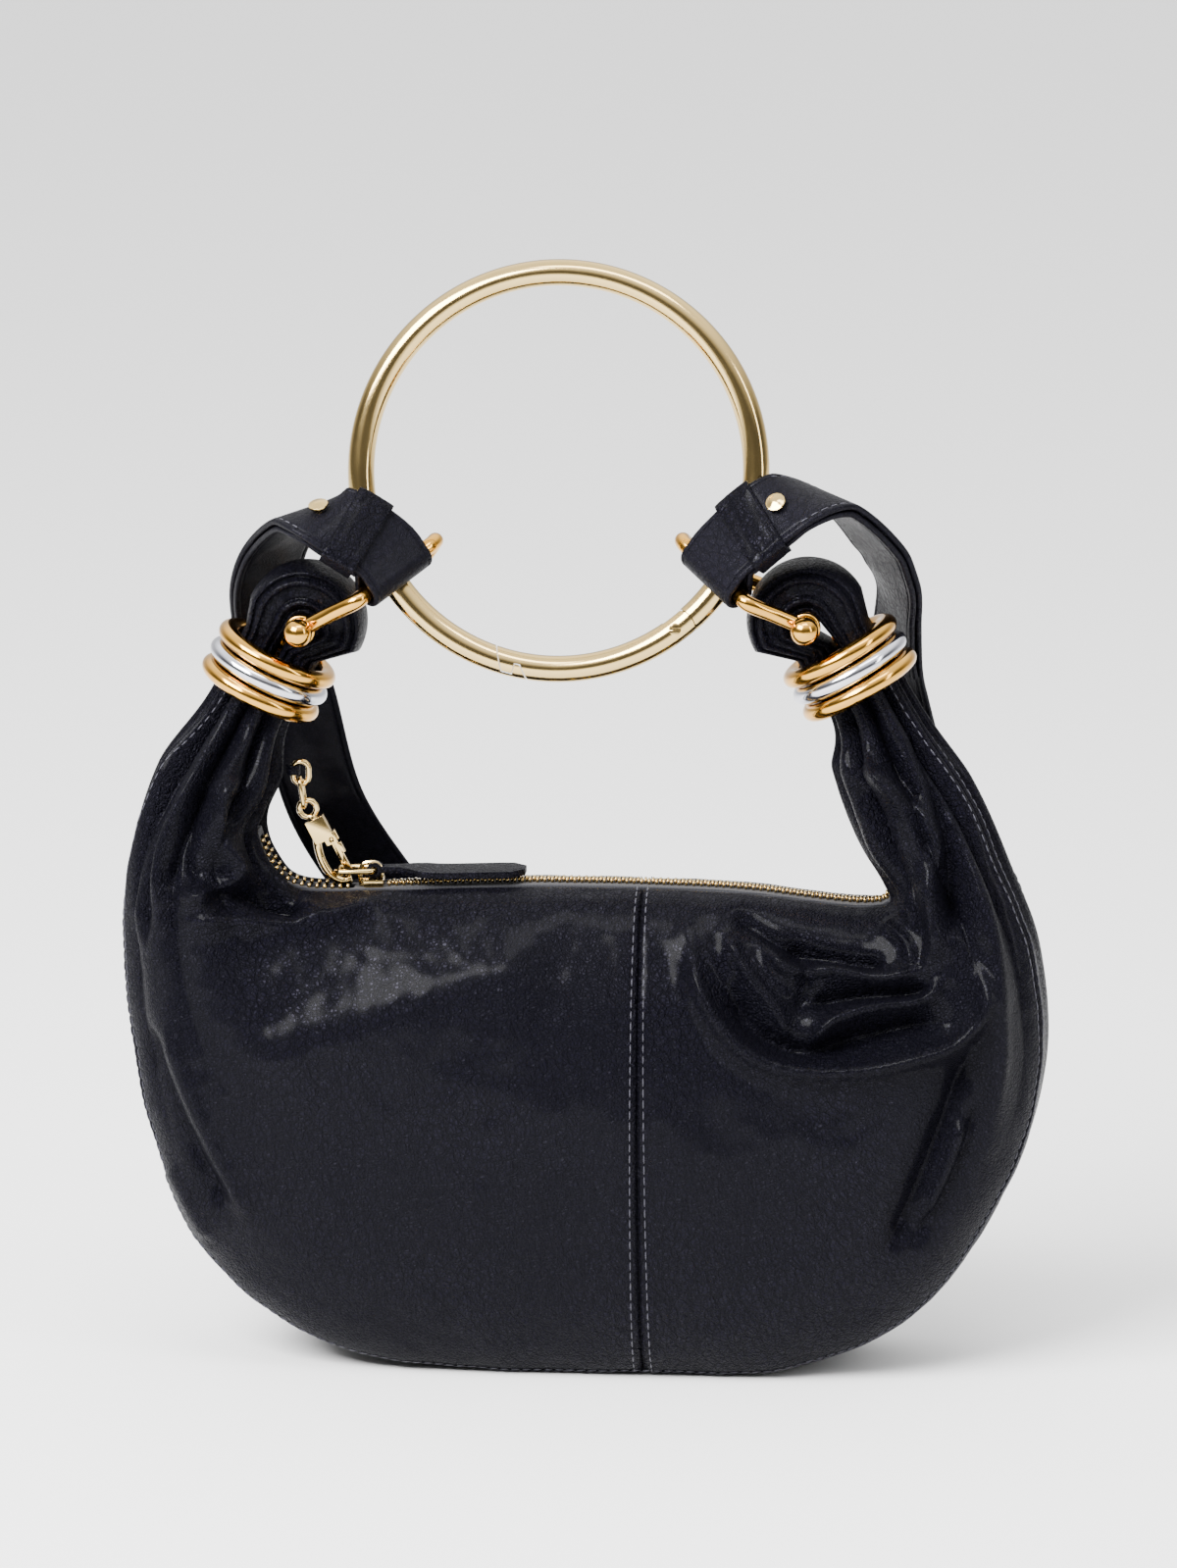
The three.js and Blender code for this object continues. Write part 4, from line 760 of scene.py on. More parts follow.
def tooth_shape(tree: bpy.types.NodeTree, entry: bpy.types.Node) -> bpy.types.NodeSocket:
    """One zip tooth: a short bar across the line with rounded corners."""
    size = add_node(
        tree,
        "ShaderNodeCombineXYZ",
        {"X": entry.outputs["Length"], "Y": entry.outputs["Width"], "Z": entry.outputs["Height"]},
    )
    cube = add_node(tree, "GeometryNodeMeshCube", {"Size": size.outputs[0]})
    round_ = add_node(
        tree,
        "GeometryNodeSubdivisionSurface",
        {"Mesh": cube.outputs[0], "Level": 1, "Edge Crease": 0.45},
    )
    return add_node(tree, "GeometryNodeSetShadeSmooth", {"Geometry": round_.outputs[0]}).outputs[0]


class RowKind(Enum):
    """What a row repeats."""

    STITCHES = "stitches"
    TEETH = "zip teeth"


ROW_TREES = {
    RowKind.STITCHES: row_tree(RowKind.STITCHES.value, stitch_shape),
    RowKind.TEETH: row_tree(RowKind.TEETH.value, tooth_shape),
}


@dataclass(frozen=True)
class Row:
    """Sizes of a repeating row, in millimetres."""

    kind: RowKind
    pitch: float
    length: float
    width: float
    height: float
    stagger: float = 0.0

    def along(self, name: str, lines: Sequence[Array], finish: bpy.types.Material, slot: Slot) -> bpy.types.Object:
        """Sets the row along lines and makes it one plain mesh.

        Args:
            name: The piece's name.
            lines: Lines of points, in millimetres.
            finish: The material of the copies.
            slot: The record's slot of that material; not used.

        Returns:
            The finished piece, riding on the bag.
        """
        tree = ROW_TREES[self.kind]
        points: list[list[float]] = []
        edges: list[tuple[int, int]] = []
        for line in lines:
            first = len(points)
            points += (np.asarray(line) * MM).tolist()
            edges += [(i, i + 1) for i in range(first, len(points) - 1)]
        mesh = bpy.data.meshes.new(name)
        mesh.from_pydata(points, edges, [])
        obj = bpy.data.objects.new(name, mesh)
        bpy.context.scene.collection.objects.link(obj)
        mod = obj.modifiers.new("row", "NODES")
        mod.node_group = tree
        sizes = {
            "Pitch": self.pitch, "Length": self.length, "Width": self.width,
            "Height": self.height, "Stagger": self.stagger,
        }
        for label, value in sizes.items():
            mod[socket_id(tree, label)] = value * MM
        mod[socket_id(tree, "Finish")] = finish
        obj = baked(obj)
        return dress(obj, finish)


SEAM_STITCH = Row(RowKind.STITCHES, pitch=3.4, length=2.7, width=0.5, height=0.42)
STRAP_STITCH = Row(RowKind.STITCHES, pitch=3.6, length=2.7, width=0.5, height=0.4)
CLOSED_TEETH = Row(RowKind.TEETH, pitch=1.15, length=0.95, width=3.6, height=1.9, stagger=0.55)
OPEN_TEETH = Row(RowKind.TEETH, pitch=2.3, length=1.1, width=2.2, height=1.9)


# ---- the leather body


class Section(NamedTuple):
    """One section of the body, as shares of the half width, horn height and half depth."""

    out_x: float
    out_z: float
    in_x: float
    in_z: float
    depth: float
    round: float


SECTIONS = np.array([
    Section(-0.773, 1.023, -0.606, 0.968, 0.317, 1),
    Section(-0.813, 0.982, -0.631, 0.923, 0.36, 1),
    Section(-0.935, 0.857, -0.664, 0.836, 0.56, 0.85),
    Section(-1.0, 0.705, -0.71, 0.776, 0.72, 0.6),
    Section(-1.0, 0.544, -0.678, 0.714, 0.81, 0.45),
    Section(-0.951, 0.35, -0.615, 0.687, 0.88, 0.35),
    Section(-0.825, 0.155, -0.462, 0.687, 0.94, 0.2),
    Section(-0.56, 0.03, -0.28, 0.694, 0.98, 0.05),
    Section(-0.24, 0, -0.084, 0.698, 1, 0),
    Section(0.14, 0, 0.126, 0.698, 1, 0),
    Section(0.46, 0.008, 0.336, 0.694, 0.98, 0.05),
    Section(0.734, 0.092, 0.503, 0.682, 0.94, 0.2),
    Section(0.923, 0.272, 0.601, 0.677, 0.88, 0.35),
    Section(1.0, 0.447, 0.654, 0.684, 0.81, 0.45),
    Section(0.985, 0.61, 0.64, 0.71, 0.74, 0.6),
    Section(0.92, 0.73, 0.58, 0.774, 0.64, 0.75),
    Section(0.835, 0.855, 0.53, 0.866, 0.5, 0.9),
    Section(0.692, 1.006, 0.517, 0.939, 0.36, 1),
    Section(0.647, 1.045, 0.487, 0.983, 0.317, 1),
])
PROFILE = np.array([
    (0, 0), (0.03, 0.3), (0.12, 0.6), (0.27, 0.85), (0.46, 0.98),
    (0.66, 1), (0.84, 0.92), (0.96, 0.74), (1, 0.5), (1, 0),
])


@dataclass(frozen=True)
class Fold:
    """A fold or crease of the front.

    Args:
        path: Points across and up as the front shows them, in millimetres.
        height: How far it stands off, in millimetres; negative for a crease.
        width: Half its width, in millimetres.
    """

    path: tuple[tuple[float, float], ...]
    height: float
    width: float


FRONT_FOLDS = (
    # left horn: long pleats that run from the collars down the outer edge
    Fold(((-116, 214), (-131, 184), (-139, 154), (-139, 128)), 1.6, 3.2),
    Fold(((-111, 210), (-126, 184), (-135, 154), (-136, 129)), -2.2, 2.2),
    Fold(((-107, 207), (-120, 184), (-131, 162), (-133, 141)), 2.0, 3.4),
    Fold(((-103, 205), (-115, 184), (-126, 163), (-130, 148)), -2.2, 2.4),
    Fold(((-100, 202), (-111, 186), (-123, 170), (-130, 154)), 2.0, 3.0),
    # left: the loose fold beside the mouth and its hollow
    Fold(((-104, 186), (-112, 178), (-112, 164), (-108, 153), (-117, 148), (-128, 147)), 4.2, 4.4),
    Fold(((-115, 182), (-121, 168), (-121, 156), (-117, 151)), -3.4, 3.8),
    Fold(((-100, 176), (-98, 161), (-91, 147), (-79, 142)), 2.2, 3.6),
    Fold(((-119, 147), (-108, 149), (-97, 146), (-86, 143)), -4.2, 4.4),
    Fold(((-125, 139), (-110, 140), (-95, 139), (-80, 141), (-62, 147)), 2.4, 4.6),
    Fold(((-137, 108), (-131, 90), (-122, 69), (-110, 48)), -3.4, 5.0),
    Fold(((-131, 108), (-124, 88), (-114, 66), (-103, 46)), 2.2, 5.5),
    Fold(((-130, 64), (-124, 52), (-116, 40)), 1.2, 4.0),
    # right horn: pleats and the roll inside them
    Fold(((86, 214), (103, 194), (112, 176), (118, 158), (124, 134), (126, 106), (124, 78)), 2.8, 4.6),
    Fold(((97, 204), (107, 184), (112, 158), (110, 138)), -4.4, 4.4),
    Fold(((84, 208), (95, 192), (102, 178)), -2.0, 2.4),
    Fold(((78, 206), (88, 190), (97, 176), (104, 160)), 1.6, 2.8),
    Fold(((77, 193), (94, 184), (106, 169), (105, 154), (107, 138), (102, 126)), 3.4, 4.8),
    Fold(((80, 186), (88, 176), (92, 160), (96, 146)), -1.6, 4.0),
    # right: the broad smile-shaped roll and the creases inside it
    Fold(((31, 140), (36, 118), (49, 103), (64, 98), (82, 98), (100, 102), (114, 108), (121, 120), (116, 136)), 4.6, 4.4),
    Fold(((41, 126), (52, 109), (65, 103), (82, 108), (98, 112), (110, 113)), -5.2, 3.6),
    Fold(((67, 104), (76, 113), (90, 118), (101, 120), (110, 127)), 3.8, 3.4),
    Fold(((66, 118), (82, 121), (98, 122), (108, 124)), -4.6, 2.8),
    Fold(((53, 136), (62, 128), (76, 128), (92, 126), (104, 130)), 3.6, 3.2),
    Fold(((60, 136), (76, 132), (92, 130)), -3.4, 2.8),
    Fold(((42, 139), (50, 126), (58, 116), (62, 106)), 2.2, 3.4),
    Fold(((44, 146), (58, 137), (67, 131), (64, 112)), -2.2, 3.2),
    Fold(((90, 143), (98, 138), (100, 130)), 2.0, 3.2),
    # right edge: the deep creases down to the corner
    Fold(((117, 106), (111, 88), (104, 68), (97, 50), (93, 40)), -4.0, 5.5),
    Fold(((121, 90), (115, 72), (107, 54), (100, 42)), -2.4, 3.8),
    Fold(((116, 84), (111, 68), (104, 52)), 2.0, 3.2),
    # broad swells of the belly
    Fold(((-110, 92), (-70, 108), (-30, 122), (-8, 118)), 2.4, 20),
    Fold(((-90, 60), (-40, 66), (10, 60)), -1.0, 22),
)
BACK_FOLDS = (
    Fold(((-110, 206), (-125, 180), (-130, 150), (-126, 110)), 2.2, 4.0),
    Fold(((-100, 200), (-112, 172), (-108, 150), (-80, 142)), -3.0, 4.5),
    Fold(((-98, 190), (-104, 168), (-92, 148), (-60, 140)), 2.6, 5.0),
    Fold(((84, 210), (108, 176), (118, 140), (122, 100)), 2.6, 4.4),
    Fold(((80, 196), (98, 166), (96, 144), (70, 136)), -3.0, 4.6),
    Fold(((120, 110), (112, 80), (98, 50)), -3.2, 5.0),
    Fold(((-128, 100), (-118, 72), (-104, 46)), -3.2, 5.0),
    Fold(((60, 138), (84, 124), (104, 118)), 2.4, 5.0),
)


@dataclass
class Pouch:
    """The leather body: four panels, a bottom strip and their seams, sizes in millimetres."""

    width: float = 286.0
    horn_height: float = 217.0
    depth: float = 84.0
    wall: float = 2.0
    horn_radius: float = 13.3
    mouth_width: float = 14.0
    pleat_depth: float = 6.4
    fold_gain: float = 1.5
    pleats: int = 4
    seam_gap: float = 0.3
    gusset_share: float = 0.16
    swell: float = 0.8

    def section(self, u: Array) -> tuple[Array, Array, Array, Array]:
        """The section at u: inner and outer point, half depth and roundness."""
        s = smooth_rows(SECTIONS, u)
        zero = np.zeros_like(np.asarray(u, float))
        inner = np.stack([s[..., 2] * self.width / 2, zero, s[..., 3] * self.horn_height], -1)
        outer = np.stack([s[..., 0] * self.width / 2, zero, s[..., 1] * self.horn_height], -1)
        horn = smooth(0.11, 0.05, np.minimum(u, 1 - u))[..., None]
        middle, arm = (inner + outer) / 2, (outer - inner) / 2
        length = np.linalg.norm(arm, axis=-1, keepdims=True)
        arm = unit(arm) * (length + (self.horn_radius - length) * horn)
        half = s[..., 4] * self.depth / 2
        half = half + (self.horn_radius - half) * horn[..., 0]
        return middle - arm, middle + arm, half, np.clip(s[..., 5], 0, 1)

    def skin(self, u: Array, side: float, w: Array) -> Array:
        """The smooth skin at u along the bag and w from the mouth to the bottom strip's middle."""
        inner, outer, half, round_ = self.section(u)
        shut = np.maximum(smooth(0.17, 0.1, u), smooth(0.76, 0.84, u))
        lip = self.mouth_width / 2 * (1 - shut)
        profile = smooth_rows(PROFILE, w)
        reach = profile[..., 0] * (1 - round_) + (1 - np.cos(np.pi * w)) / 2 * round_
        bulge = profile[..., 1] * (1 - round_) + np.sin(np.pi * w) * round_
        y = bulge * half + lip * (1 - bulge) * smooth(0.5, 0, w)
        reach = np.clip(reach, 0, 1)[..., None]
        p = inner * (1 - reach) + outer * reach
        p[..., 1] = side * np.where(w >= 1, 0, y)
        return p

    def normal(self, u: Array, side: float, w: Array) -> Array:
        """The smooth skin's outward normal."""
        step = 0.004
        along_u = self.skin(np.minimum(u + step, 1), side, w) - self.skin(np.maximum(u - step, 0), side, w)
        along_w = self.skin(u, side, np.minimum(w + step, 1)) - self.skin(u, side, np.maximum(w - step, 0))
        n = np.cross(along_u, along_w) * side
        flat = np.linalg.norm(n, axis=-1) < 1e-9
        n[flat] = (0, 0, -1)
        return unit(n)

    def folds(self, p: Array, folds: Sequence[Fold]) -> Array:
        """The height of the folds at points of the skin."""
        across = 0.996 * p[..., 0] + 0.087 * p[..., 1]
        up = 0.978 * p[..., 2] + 0.208 * p[..., 1] + 6
        total = np.zeros(across.shape)
        for fold in folds:
            line = Curve([np.array([a, b, 0.0]) for a, b in fold.path]).points_along(34)[:, :2]
            best = np.full(across.shape, np.inf)
            place = np.zeros(across.shape)
            for k in range(len(line) - 1):
                a, b = line[k], line[k + 1]
                d = b - a
                t = np.clip(((across - a[0]) * d[0] + (up - a[1]) * d[1]) / max(float(d @ d), 1e-9), 0, 1)
                dist = np.hypot(across - a[0] - t * d[0], up - a[1] - t * d[1])
                near = dist < best
                best = np.where(near, dist, best)
                place = np.where(near, (k + t) / (len(line) - 1), place)
            ends = smooth(0, 0.16, place) * smooth(1, 0.84, place) * 0.85 + 0.15
            far = best / fold.width
            ridge = 0.6 * np.exp(-(far**2)) + 0.4 * np.exp(-((2.1 * far) ** 2))
            crease = np.exp(-1.25 * far**1.35)
            total += self.fold_gain * fold.height * ends * (ridge if fold.height > 0 else crease)
        return total

    def relief(self, u: Array, side: float, w: Array, p: Array) -> Array:
        """How far the leather stands off the smooth skin, in millimetres."""
        edge = np.minimum(u, 1 - u)
        gather = smooth(0.36, 0.05, edge)
        seam = smooth(0, 0.05, w) * smooth(1, 0.9, w)
        lobes = np.abs(np.cos(np.pi * self.pleats * w / (1 - self.gusset_share))) ** 0.8
        off = -self.pleat_depth * gather * (1 - lobes) * seam
        below = smooth(0.055, 0.12, edge)
        folds = FRONT_FOLDS if side < 0 else BACK_FOLDS
        strip = 1 - 0.75 * smooth(1 - self.gusset_share - 0.02, 1 - self.gusset_share + 0.05, w)
        off = off + self.folds(p, folds) * seam * below * strip
        flat = p.reshape(-1, 3)
        ripple = np.array([
            noise.noise(Vector((x * 0.075, y * 0.075 + 7.0, z * 0.075))) * 0.55
            + noise.noise(Vector((x * 0.19 + 3.0, y * 0.19, z * 0.19))) * 0.22
            for x, y, z in flat
        ]).reshape(off.shape)
        return off + self.swell * ripple * seam * below

    def point(self, u: Array, side: float, w: Array, inward: float = 0.0) -> Array:
        """The leather's surface, or a point a distance inside it."""
        p = self.skin(u, side, w)
        off = self.relief(u, side, w, p) if inward <= 0 else self.relief_kept
        if inward <= 0:
            self.relief_kept = off
        out = p + self.normal(u, side, w) * (off - inward)[..., None]
        out[..., 2] = np.maximum(out[..., 2], max(inward, 0.0))
        return out

    def panel(self, name: str, side: Side, start: float, end: float, steps: tuple[int, int]) -> bpy.types.Object:
        """One of the four panels, with its edges turned in at the seams.

        Args:
            name: The frame node that it replaces.
            side: Front or back.
            start: Where it starts along the bag.
            end: Where it ends.
            steps: Steps along the bag and down the panel.

        Returns:
            The finished piece.
        """
        us = np.linspace(start, end, steps[0] + 1)
        seam_w = 1 - self.gusset_share
        girth = np.linalg.norm(
            self.skin(us, side.value, np.full(us.shape, 0.5)) - self.skin(us, side.value, np.full(us.shape, 0.45)),
            axis=-1,
        ) / 0.05
        gap = self.seam_gap / 2 / girth
        share = np.linspace(0, 1, steps[1] + 1)
        share = share + 0.035 * np.sin(2 * np.pi * share) * -1
        w = gap[:, None] + (seam_w - 2 * gap)[:, None] * share[None, :]
        u = np.repeat(us[:, None], steps[1] + 1, axis=1)
        outer = self.point(u, side.value, w)
        inner = self.point(u, side.value, w, self.wall)
        outer = self.tuck(outer, inner, start, end)
        points = np.concatenate([outer.reshape(-1, 3), inner.reshape(-1, 3)])
        obj = new_object(name + "_leather", points, wall_faces(steps[0] + 1, steps[1] + 1))
        return dress(obj, BODY_LEATHER, [name])

    def tuck(self, outer: Array, inner: Array, start: float, end: float) -> Array:
        """Rolls the outer grid's seam edges inwards by up to half the wall.

        Args:
            outer: The outer grid.
            inner: The inner grid, a wall further in.
            start: Where the panel starts along the bag.
            end: Where it ends.

        Returns:
            The outer grid with rounded seam edges.
        """
        def distance(axis: int, from_end: bool) -> Array:
            steps = np.linalg.norm(np.diff(outer, axis=axis), axis=-1)
            run = np.cumsum(np.flip(steps, axis) if from_end else steps, axis=axis)
            pad = [(0, 0), (0, 0)]
            pad[axis] = (1, 0)
            run = np.pad(run, pad)
            return np.flip(run, axis) if from_end else run

        near = distance(1, True)
        near = np.minimum(near, distance(1, False))
        if start > 0.4:
            near = np.minimum(near, distance(0, False))
        if end < 0.6:
            near = np.minimum(near, distance(0, True))
        roll = 0.45 * np.clip(1 - near / 2.2, 0, 1) ** 2
        return outer + (inner - outer) * roll[..., None]

    def gusset(self) -> bpy.types.Object:
        """The bottom strip, which runs up both outer edges to the horns."""
        us = np.linspace(0, 1, 341)
        girth = np.linalg.norm(self.skin(us, -1, np.full(us.shape, 0.5)) - self.skin(us, -1, np.full(us.shape, 0.45)), axis=-1) / 0.05
        gap = self.seam_gap / 2 / girth
        seam_w = 1 - self.gusset_share
        grids = []
        for inward in (0.0, self.wall):
            halves = []
            for side, shares in ((-1, np.linspace(0, 1, 10)), (1, np.linspace(1, 0, 10)[1:])):
                w = (seam_w + gap)[:, None] + (1 - seam_w - gap)[:, None] * shares[None, :]
                u = np.repeat(us[:, None], len(shares), axis=1)
                p = self.skin(u, side, w)
                bend = self.relief(u, side, w, p)
                out = p + self.normal(u, side, w) * (bend - inward)[..., None]
                out[..., 2] = np.maximum(out[..., 2], inward)
                halves.append(out)
            grids.append(np.concatenate(halves, axis=1))
        outer = self.tuck(grids[0], grids[1], 0, 1)
        points = np.concatenate([outer.reshape(-1, 3), grids[1].reshape(-1, 3)])
        obj = new_object("gusset_leather", points, wall_faces(len(us), outer.shape[1]))
        return dress(obj, BODY_LEATHER, ["gusset"])

    def line(self, side: Side, us: Array, ws: Array, lift: float = 0.12) -> Array:
        """A line of points a little off the leather."""
        p = self.skin(us, side.value, ws)
        off = self.relief(us, side.value, ws, p)
        return p + self.normal(us, side.value, ws) * (off + lift)[..., None]

    def seam_allowances(self) -> None:
        """The turned-in edges of the leather behind the two centre seams."""
        shells = Shells()
        us = 0.5 + np.linspace(-3.5, 3.5, 8) / (2.2 * self.width)
        ws = np.linspace(0.01, 1 - self.gusset_share - 0.01, 100)
        u, w = np.meshgrid(us, ws, indexing="ij")
        for side in Side:
            p = self.skin(u, side.value, w)
            off = self.relief(u, side.value, w, p)
            out = self.normal(u, side.value, w)
            layers = [p + out * (off - inward)[..., None] for inward in (self.wall + 0.05, self.wall + 0.65)]
            points = np.concatenate([layer.reshape(-1, 3) for layer in layers])
            shells.add(points, wall_faces(len(us), len(ws)))
        dress(shells.piece("centre_seam_allowances"), BODY_LEATHER, [])

    def stitches(self) -> None:
        """Rows of stitches beside the centre seams and along the strip's seams."""
        seam_w = 1 - self.gusset_share
        lines = []
        for side in Side:
            for step in (-1.9, 1.9):
                ws = np.linspace(0.02, seam_w - 0.01, 160)
                lines.append(self.line(side, np.full(ws.shape, 0.5 + step / (2.2 * self.width)), ws, -0.02))
        SEAM_STITCH.along("centre_stitches", lines, THREAD, Slot.LEATHER)
        lines = []
        us = np.linspace(0.055, 0.945, 420)
        girth = np.linalg.norm(self.skin(us, -1, np.full(us.shape, 0.5)) - self.skin(us, -1, np.full(us.shape, 0.45)), axis=-1) / 0.05
        for side in Side:
            for step in (-2.4, 2.4):
                lines.append(self.line(side, us, seam_w + step / girth, -0.02))
        SEAM_STITCH.along("strip_stitches", lines, THREAD, Slot.LEATHER)

    def build(self) -> None:
        """Builds the body."""
        half_gap = self.seam_gap / 2 / (2.2 * self.width)
        self.panel("front_left", Side.FRONT, 0, 0.5 - half_gap, (270, 150))
        self.panel("front_right", Side.FRONT, 0.5 + half_gap, 1, (270, 150))
        self.panel("back_left", Side.BACK, 0, 0.5 - half_gap, (110, 64))
        self.panel("back_right", Side.BACK, 0.5 + half_gap, 1, (110, 64))
        self.gusset()
        self.seam_allowances()
        self.stitches()

    def horn(self, name: str) -> "Horn":
        """The horn of that name: its end, the way it points and the way out."""
        u = np.array(0.0 if name == "left" else 1.0)
        inner, outer, _, _ = self.section(u)
        out = unit(outer - inner)
        up = vec(out[2], 0, -out[0])
        if up[2] < 0:
            up = -up
        return Horn((inner + outer) / 2, up, out)


class Horn(NamedTuple):
    """A horn's end point, the way it points, and the way out to its side."""

    end: Array
    up: Array
    out: Array


@dataclass
class HornEnd:
    """The collars and the gathered loop at the end of a horn, sizes in millimetres."""

    name: str
    horn: Horn
    collar_diameter: float = 39.5
    collar_width: float = 6.0
    collar_gap: float = 0.35
    fit_gap: float = 0.3
    horn_radius: float = 13.3
    rod: float = 5.0
    loop_depth: float = 25.0
    loop_thickness: float = 16.0
    layers: int = 5
    pin_lift: float = 19.5
    pin_inset: float = 3.5

    @property
    def pin(self) -> Array:
        """The middle of the shackle's pin."""
        return self.horn.end + self.horn.up * self.pin_lift - self.horn.out * self.pin_inset

    def collar(self, number: int, place: int, finish: bpy.types.Material) -> None:
        """One round collar, place widths along the horn."""
        thick = self.collar_diameter / 2 - self.horn_radius - self.fit_gap
        middle = self.collar_diameter / 2 - thick / 2
        centre = self.horn.end + self.horn.up * place * self.collar_width
        a, b = self.horn.out, vec(0, 1, 0)
        turns = np.linspace(0, 2 * math.pi, 120, endpoint=False)
        angles = np.linspace(0, 2 * math.pi, 28, endpoint=False)
        rings = []
        for t in turns:
            radial = math.cos(t) * a + math.sin(t) * b
            ring = centre + radial * middle + (
                np.cos(angles)[:, None] * radial * thick / 2
                + np.sin(angles)[:, None] * self.horn.up * (self.collar_width - self.collar_gap) / 2
            )
            rings.append(ring)
        shells = Shells().add(np.array(rings), loft_faces(len(rings), len(angles), closed=True))
        name = f"collar_{self.name}_{number}"
        dress(shells.piece(name + "_metal"), finish, [name])

    def loop(self) -> None:
        """The gathered loop: layers of leather that go over the pin and back into the horn."""
        hole = self.rod / 2 + self.fit_gap
        root = self.horn.end + self.horn.up * self.fit_gap
        leg = self.horn_radius / 2
        collar_top = 1.7 * self.collar_width
        frames = []
        for way in (1, -1):
            part = []
            for lift in np.linspace(0, collar_top, 7):
                part.append((root + self.horn.up * lift + self.horn.out * way * leg, self.horn.out * way,
                             self.horn_radius - 4 * self.fit_gap, self.horn_radius * 1.55))
            frames.append(part)
        bend = hole + self.loop_thickness / 2
        over = []
        for degrees in np.linspace(0, 180, 40):
            t = math.radians(degrees)
            radial = self.horn.out * math.cos(t) + self.horn.up * math.sin(t)
            over.append((self.pin + radial * bend, radial, self.loop_thickness, self.loop_depth))
        stations = frames[0] + over + frames[1][::-1]
        faces_round = 96
        angles = np.linspace(0, 2 * math.pi, faces_round, endpoint=False)
        rings = []
        for k, (centre, radial, thick, depth) in enumerate(stations):
            across = np.sign(np.cos(angles)) * np.abs(np.cos(angles)) ** 0.62 * thick / 2
            front = np.sign(np.sin(angles)) * np.abs(np.sin(angles)) ** 0.62
            place = across / (thick / 2) * 0.5 + 0.5
            lobes = np.abs(np.sin(np.pi * self.layers * place)) ** 0.55
            wave = 1 + 0.03 * math.sin(k * 0.55 + 1.0)
            y = -front * depth / 2 * (0.72 * wave + 0.27 * lobes) * (1 - 0.1 * (place - 0.3) ** 2)
            rings.append(centre + radial * across[:, None] + np.outer(y, vec(0, 1, 0)))
        shells = Shells().add(np.array(rings), loft_faces(len(rings), faces_round))
        name = f"gathered_loop_{self.name}"
        dress(shells.piece(name + "_leather"), BODY_LEATHER, [name])

    def build(self) -> None:
        """Builds the collars and the loop."""
        self.collar(1, 1, YELLOW_GOLD)
        self.collar(2, 0, SILVER)
        self.collar(3, -1, YELLOW_GOLD)
        self.loop()


# ---- the ring handle


